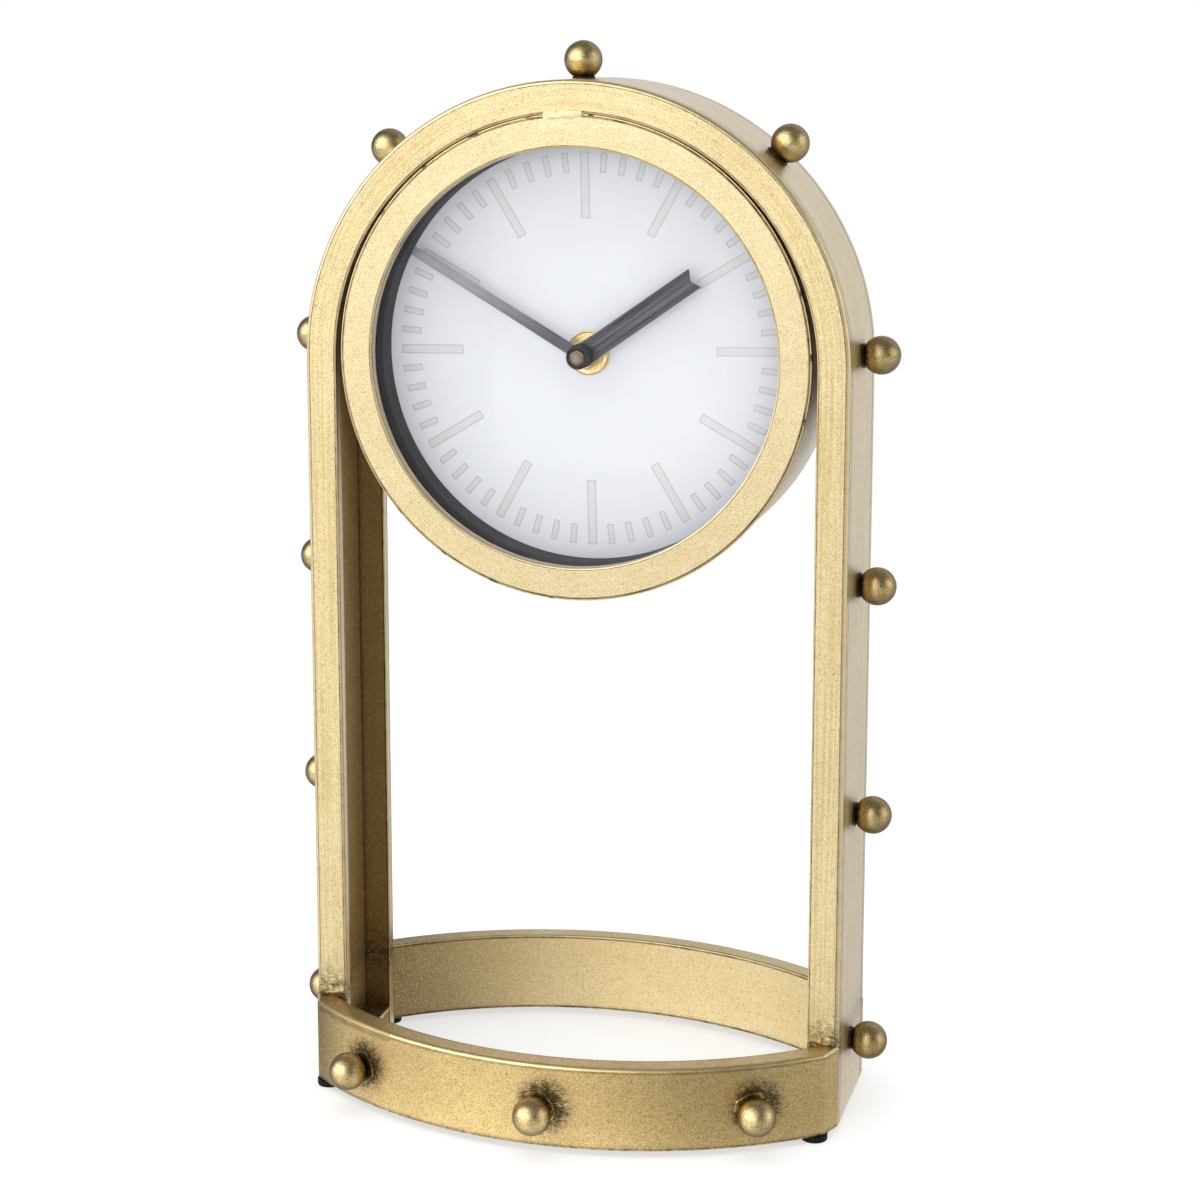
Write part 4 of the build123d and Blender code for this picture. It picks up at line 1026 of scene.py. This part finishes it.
cell = {"radius": 7.2, "buttonRadius": 2.7, "button": 1.0, "steps": 64}
batteryLow, batteryHigh = span("battery")
middle = (batteryLow + batteryHigh) / 2
top = batteryHigh[0] - batteryLow[0] - cell["button"]
tip = top + cell["button"]
cellProfile = [(0.2, 0), (6.2, 0), (6.6, 0.1), (6.9, 0.35), (7.15, 0.5), (cell["radius"], 0.8),
               (cell["radius"], top - 0.9), (7.1, top - 0.5), (6.7, top - 0.35), (6.5, top), (3.0, top),
               (2.75, top + 0.1), (cell["buttonRadius"], top + 0.8), (2.4, tip), (0.2, tip)]
cellPatch = placed(turned(cellProfile, cell["steps"]), (batteryLow[0], *middle[1:]), (1, 0, 0))
makePiece("battery", [cellPatch], batteryWrap, "battery")
print("movement made")

# Floor and studio. Each lobe is a bright patch of the room: its direction, the cosines where it starts and is
# full, and its strength
studio = {"floorSize": 14.0, "floorCells": 40, "floorFade": (0.4, 1.2), "floorColour": (0.55, 0.55, 0.55, 1),
          "floorLift": 0.56, "floorSheen": 0.4, "sheenRoughness": 0.3, "grazingGlowStrength": 0.3,
          "glowPool": (0.14, 0.07), "glowPoolStrength": 0.9, "farShine": 0.75, "flatFill": 0.77, "fill": 0.2,
          "lobes": [((-0.62, -0.75, 0.22), 0.5, 0.95, 2.4), ((0.98, 0.03, 0.2), 0.85, 0.98, 1.15),
                    ((0.1, 0.98, 0.1), 0.3, 0.9, 0.62)]}


def floorMaterial():
    # Matt white near the clock, with a sheen that shows in the brass, fading to plain white far from it; in
    # reflections only, the floor also glows, a painted pool of light round the clock and a painted glow
    # towards grazing views
    material, tree, shader, place = newMaterial("floorWhite")
    fromMiddle = tree.length(place)
    path = tree.add("LightPath")
    seen = tree.larger(path["Is Camera Ray"], path["Is Transmission Ray"])
    glossy = path["Is Glossy Ray"]
    grazingGlow = tree.times(tree.times(glossy, tree.add("LayerWeight")["Facing"]), studio["grazingGlowStrength"])
    glowPool = tree.times(glossy, tree.remap(fromMiddle, *studio["glowPool"], 0.0, studio["glowPoolStrength"]))
    strength = tree.larger(tree.times(seen, studio["floorLift"]), tree.math("ADD", grazingGlow, glowPool))
    matt = tree.add("BsdfDiffuse", {"Color": studio["floorColour"]})[0]
    lifted = tree.add("AddShader", {0: matt, 1: tree.add("Emission", {"Strength": strength})[0]})[0]
    sheen = tree.add("BsdfGlossy", {"Roughness": studio["sheenRoughness"]})[0]
    near = tree.add("MixShader", {0: tree.times(glossy, studio["floorSheen"]), 1: lifted, 2: sheen})[0]
    white = tree.add("Emission", {"Strength": tree.larger(seen, studio["farShine"])})[0]
    far = tree.add("MixShader", {0: tree.remap(fromMiddle, *studio["floorFade"]), 1: near, 2: white})[0]
    tree.fill(tree.nodes["Material Output"].inputs, {"Surface": far})
    tree.nodes.remove(tree.nodes["Principled BSDF"])
    return material


def makeFloor():
    # Flat square grid on the table's level
    count = studio["floorCells"] + 1
    line = np.linspace(-studio["floorSize"], studio["floorSize"], count)
    x, y = np.meshgrid(line, line, indexing="ij")
    i, j = np.meshgrid(np.arange(count - 1), np.arange(count - 1), indexing="ij")
    corner = i * count + j
    quads = np.stack([corner, corner + count, corner + count + 1, corner + 1], -1).reshape(-1, 4)
    mesh = bpy.data.meshes.new("floorSheet")
    mesh.from_pydata(np.stack([x, y, np.zeros_like(x)], -1).reshape(-1, 3).tolist(), [], quads.tolist())
    mesh.materials.append(floorMaterial())
    sheet = bpy.data.objects.new("floorSheet", mesh)
    collection.objects.link(sheet)


def makeWorld():
    # White to the camera and through glass; for the rest an even room, with bright patches in reflections
    world = bpy.data.worlds.new("studioWorld")
    bpy.context.scene.world = world
    world.use_nodes = True
    tree = Tree(world.node_tree)
    place = tree.add("TexCoord")["Generated"]
    room = studio["fill"]
    for way, start, full, strength in studio["lobes"]:
        facing = tree.add("VectorMath", {0: place, 1: Vector(way).normalized()}, operation="DOT_PRODUCT")
        room = tree.math("ADD", room, tree.remap(facing["Value"], start, full, 0.0, strength))
    path = tree.add("LightPath")
    seen = tree.larger(path["Is Camera Ray"], path["Is Transmission Ray"])
    matt = tree.times(tree.math("SUBTRACT", 1.0, path["Is Glossy Ray"]), studio["flatFill"])
    room = tree.larger(matt, tree.times(room, path["Is Glossy Ray"]))
    tree.fill(tree.nodes["Background"].inputs, {"Color": (1, 1, 1, 1), "Strength": tree.larger(seen, room)})


def aimed(holder, spot, back):
    # The object's Z points along the given way
    holder.location = spot
    holder.rotation_mode = "QUATERNION"
    holder.rotation_quaternion = (-back).to_track_quat("-Z", "Y")
    collection.objects.link(holder)


def softBox(name, spot, aim, size, power):
    # Lamp for the matt surfaces and the shadow; it doesn't show in reflections
    lamp = bpy.data.lights.new(name, "AREA")
    lamp.shape, lamp.size, lamp.size_y, lamp.energy = "RECTANGLE", *size, power
    holder = bpy.data.objects.new(name, lamp)
    holder.visible_glossy = False
    aimed(holder, spot, Vector(spot) - Vector(aim))


makeFloor()
makeWorld()
softBox("topBox", (-0.1, -0.2, 1.5), (0, 0, 0.1), (1.4, 1.4), 6.5)
softBox("frontBox", (0.15, -1.4, 0.3), (0, 0, 0.28), (1.3, 0.9), 9.0)
print("studio made")

# Camera, measured on a square picture of 1200 pixels
view = {"azimuth": 15.573, "elevation": 10.0, "distance": 987.1, "focal": 2568.0, "aim": (0.02, 0, 237.45),
        "middle": (590, 492), "picture": 1200, "sensor": 36}
turn, rise = radians(view["azimuth"]), radians(view["elevation"])
back = Vector((np.sin(turn) * np.cos(rise), -np.cos(turn) * np.cos(rise), np.sin(rise)))
cameraData = bpy.data.cameras.new("viewCamera")
cameraData.sensor_width = view["sensor"]
cameraData.lens = view["focal"] / view["picture"] * view["sensor"]
cameraData.shift_x = 0.5 - view["middle"][0] / view["picture"]
cameraData.shift_y = view["middle"][1] / view["picture"] - 0.5
viewCamera = bpy.data.objects.new("viewCamera", cameraData)
aimed(viewCamera, (Vector(view["aim"]) + back * view["distance"]) * mm, back)
bpy.context.scene.camera = viewCamera
bpy.context.scene.view_settings.view_transform = "Standard"
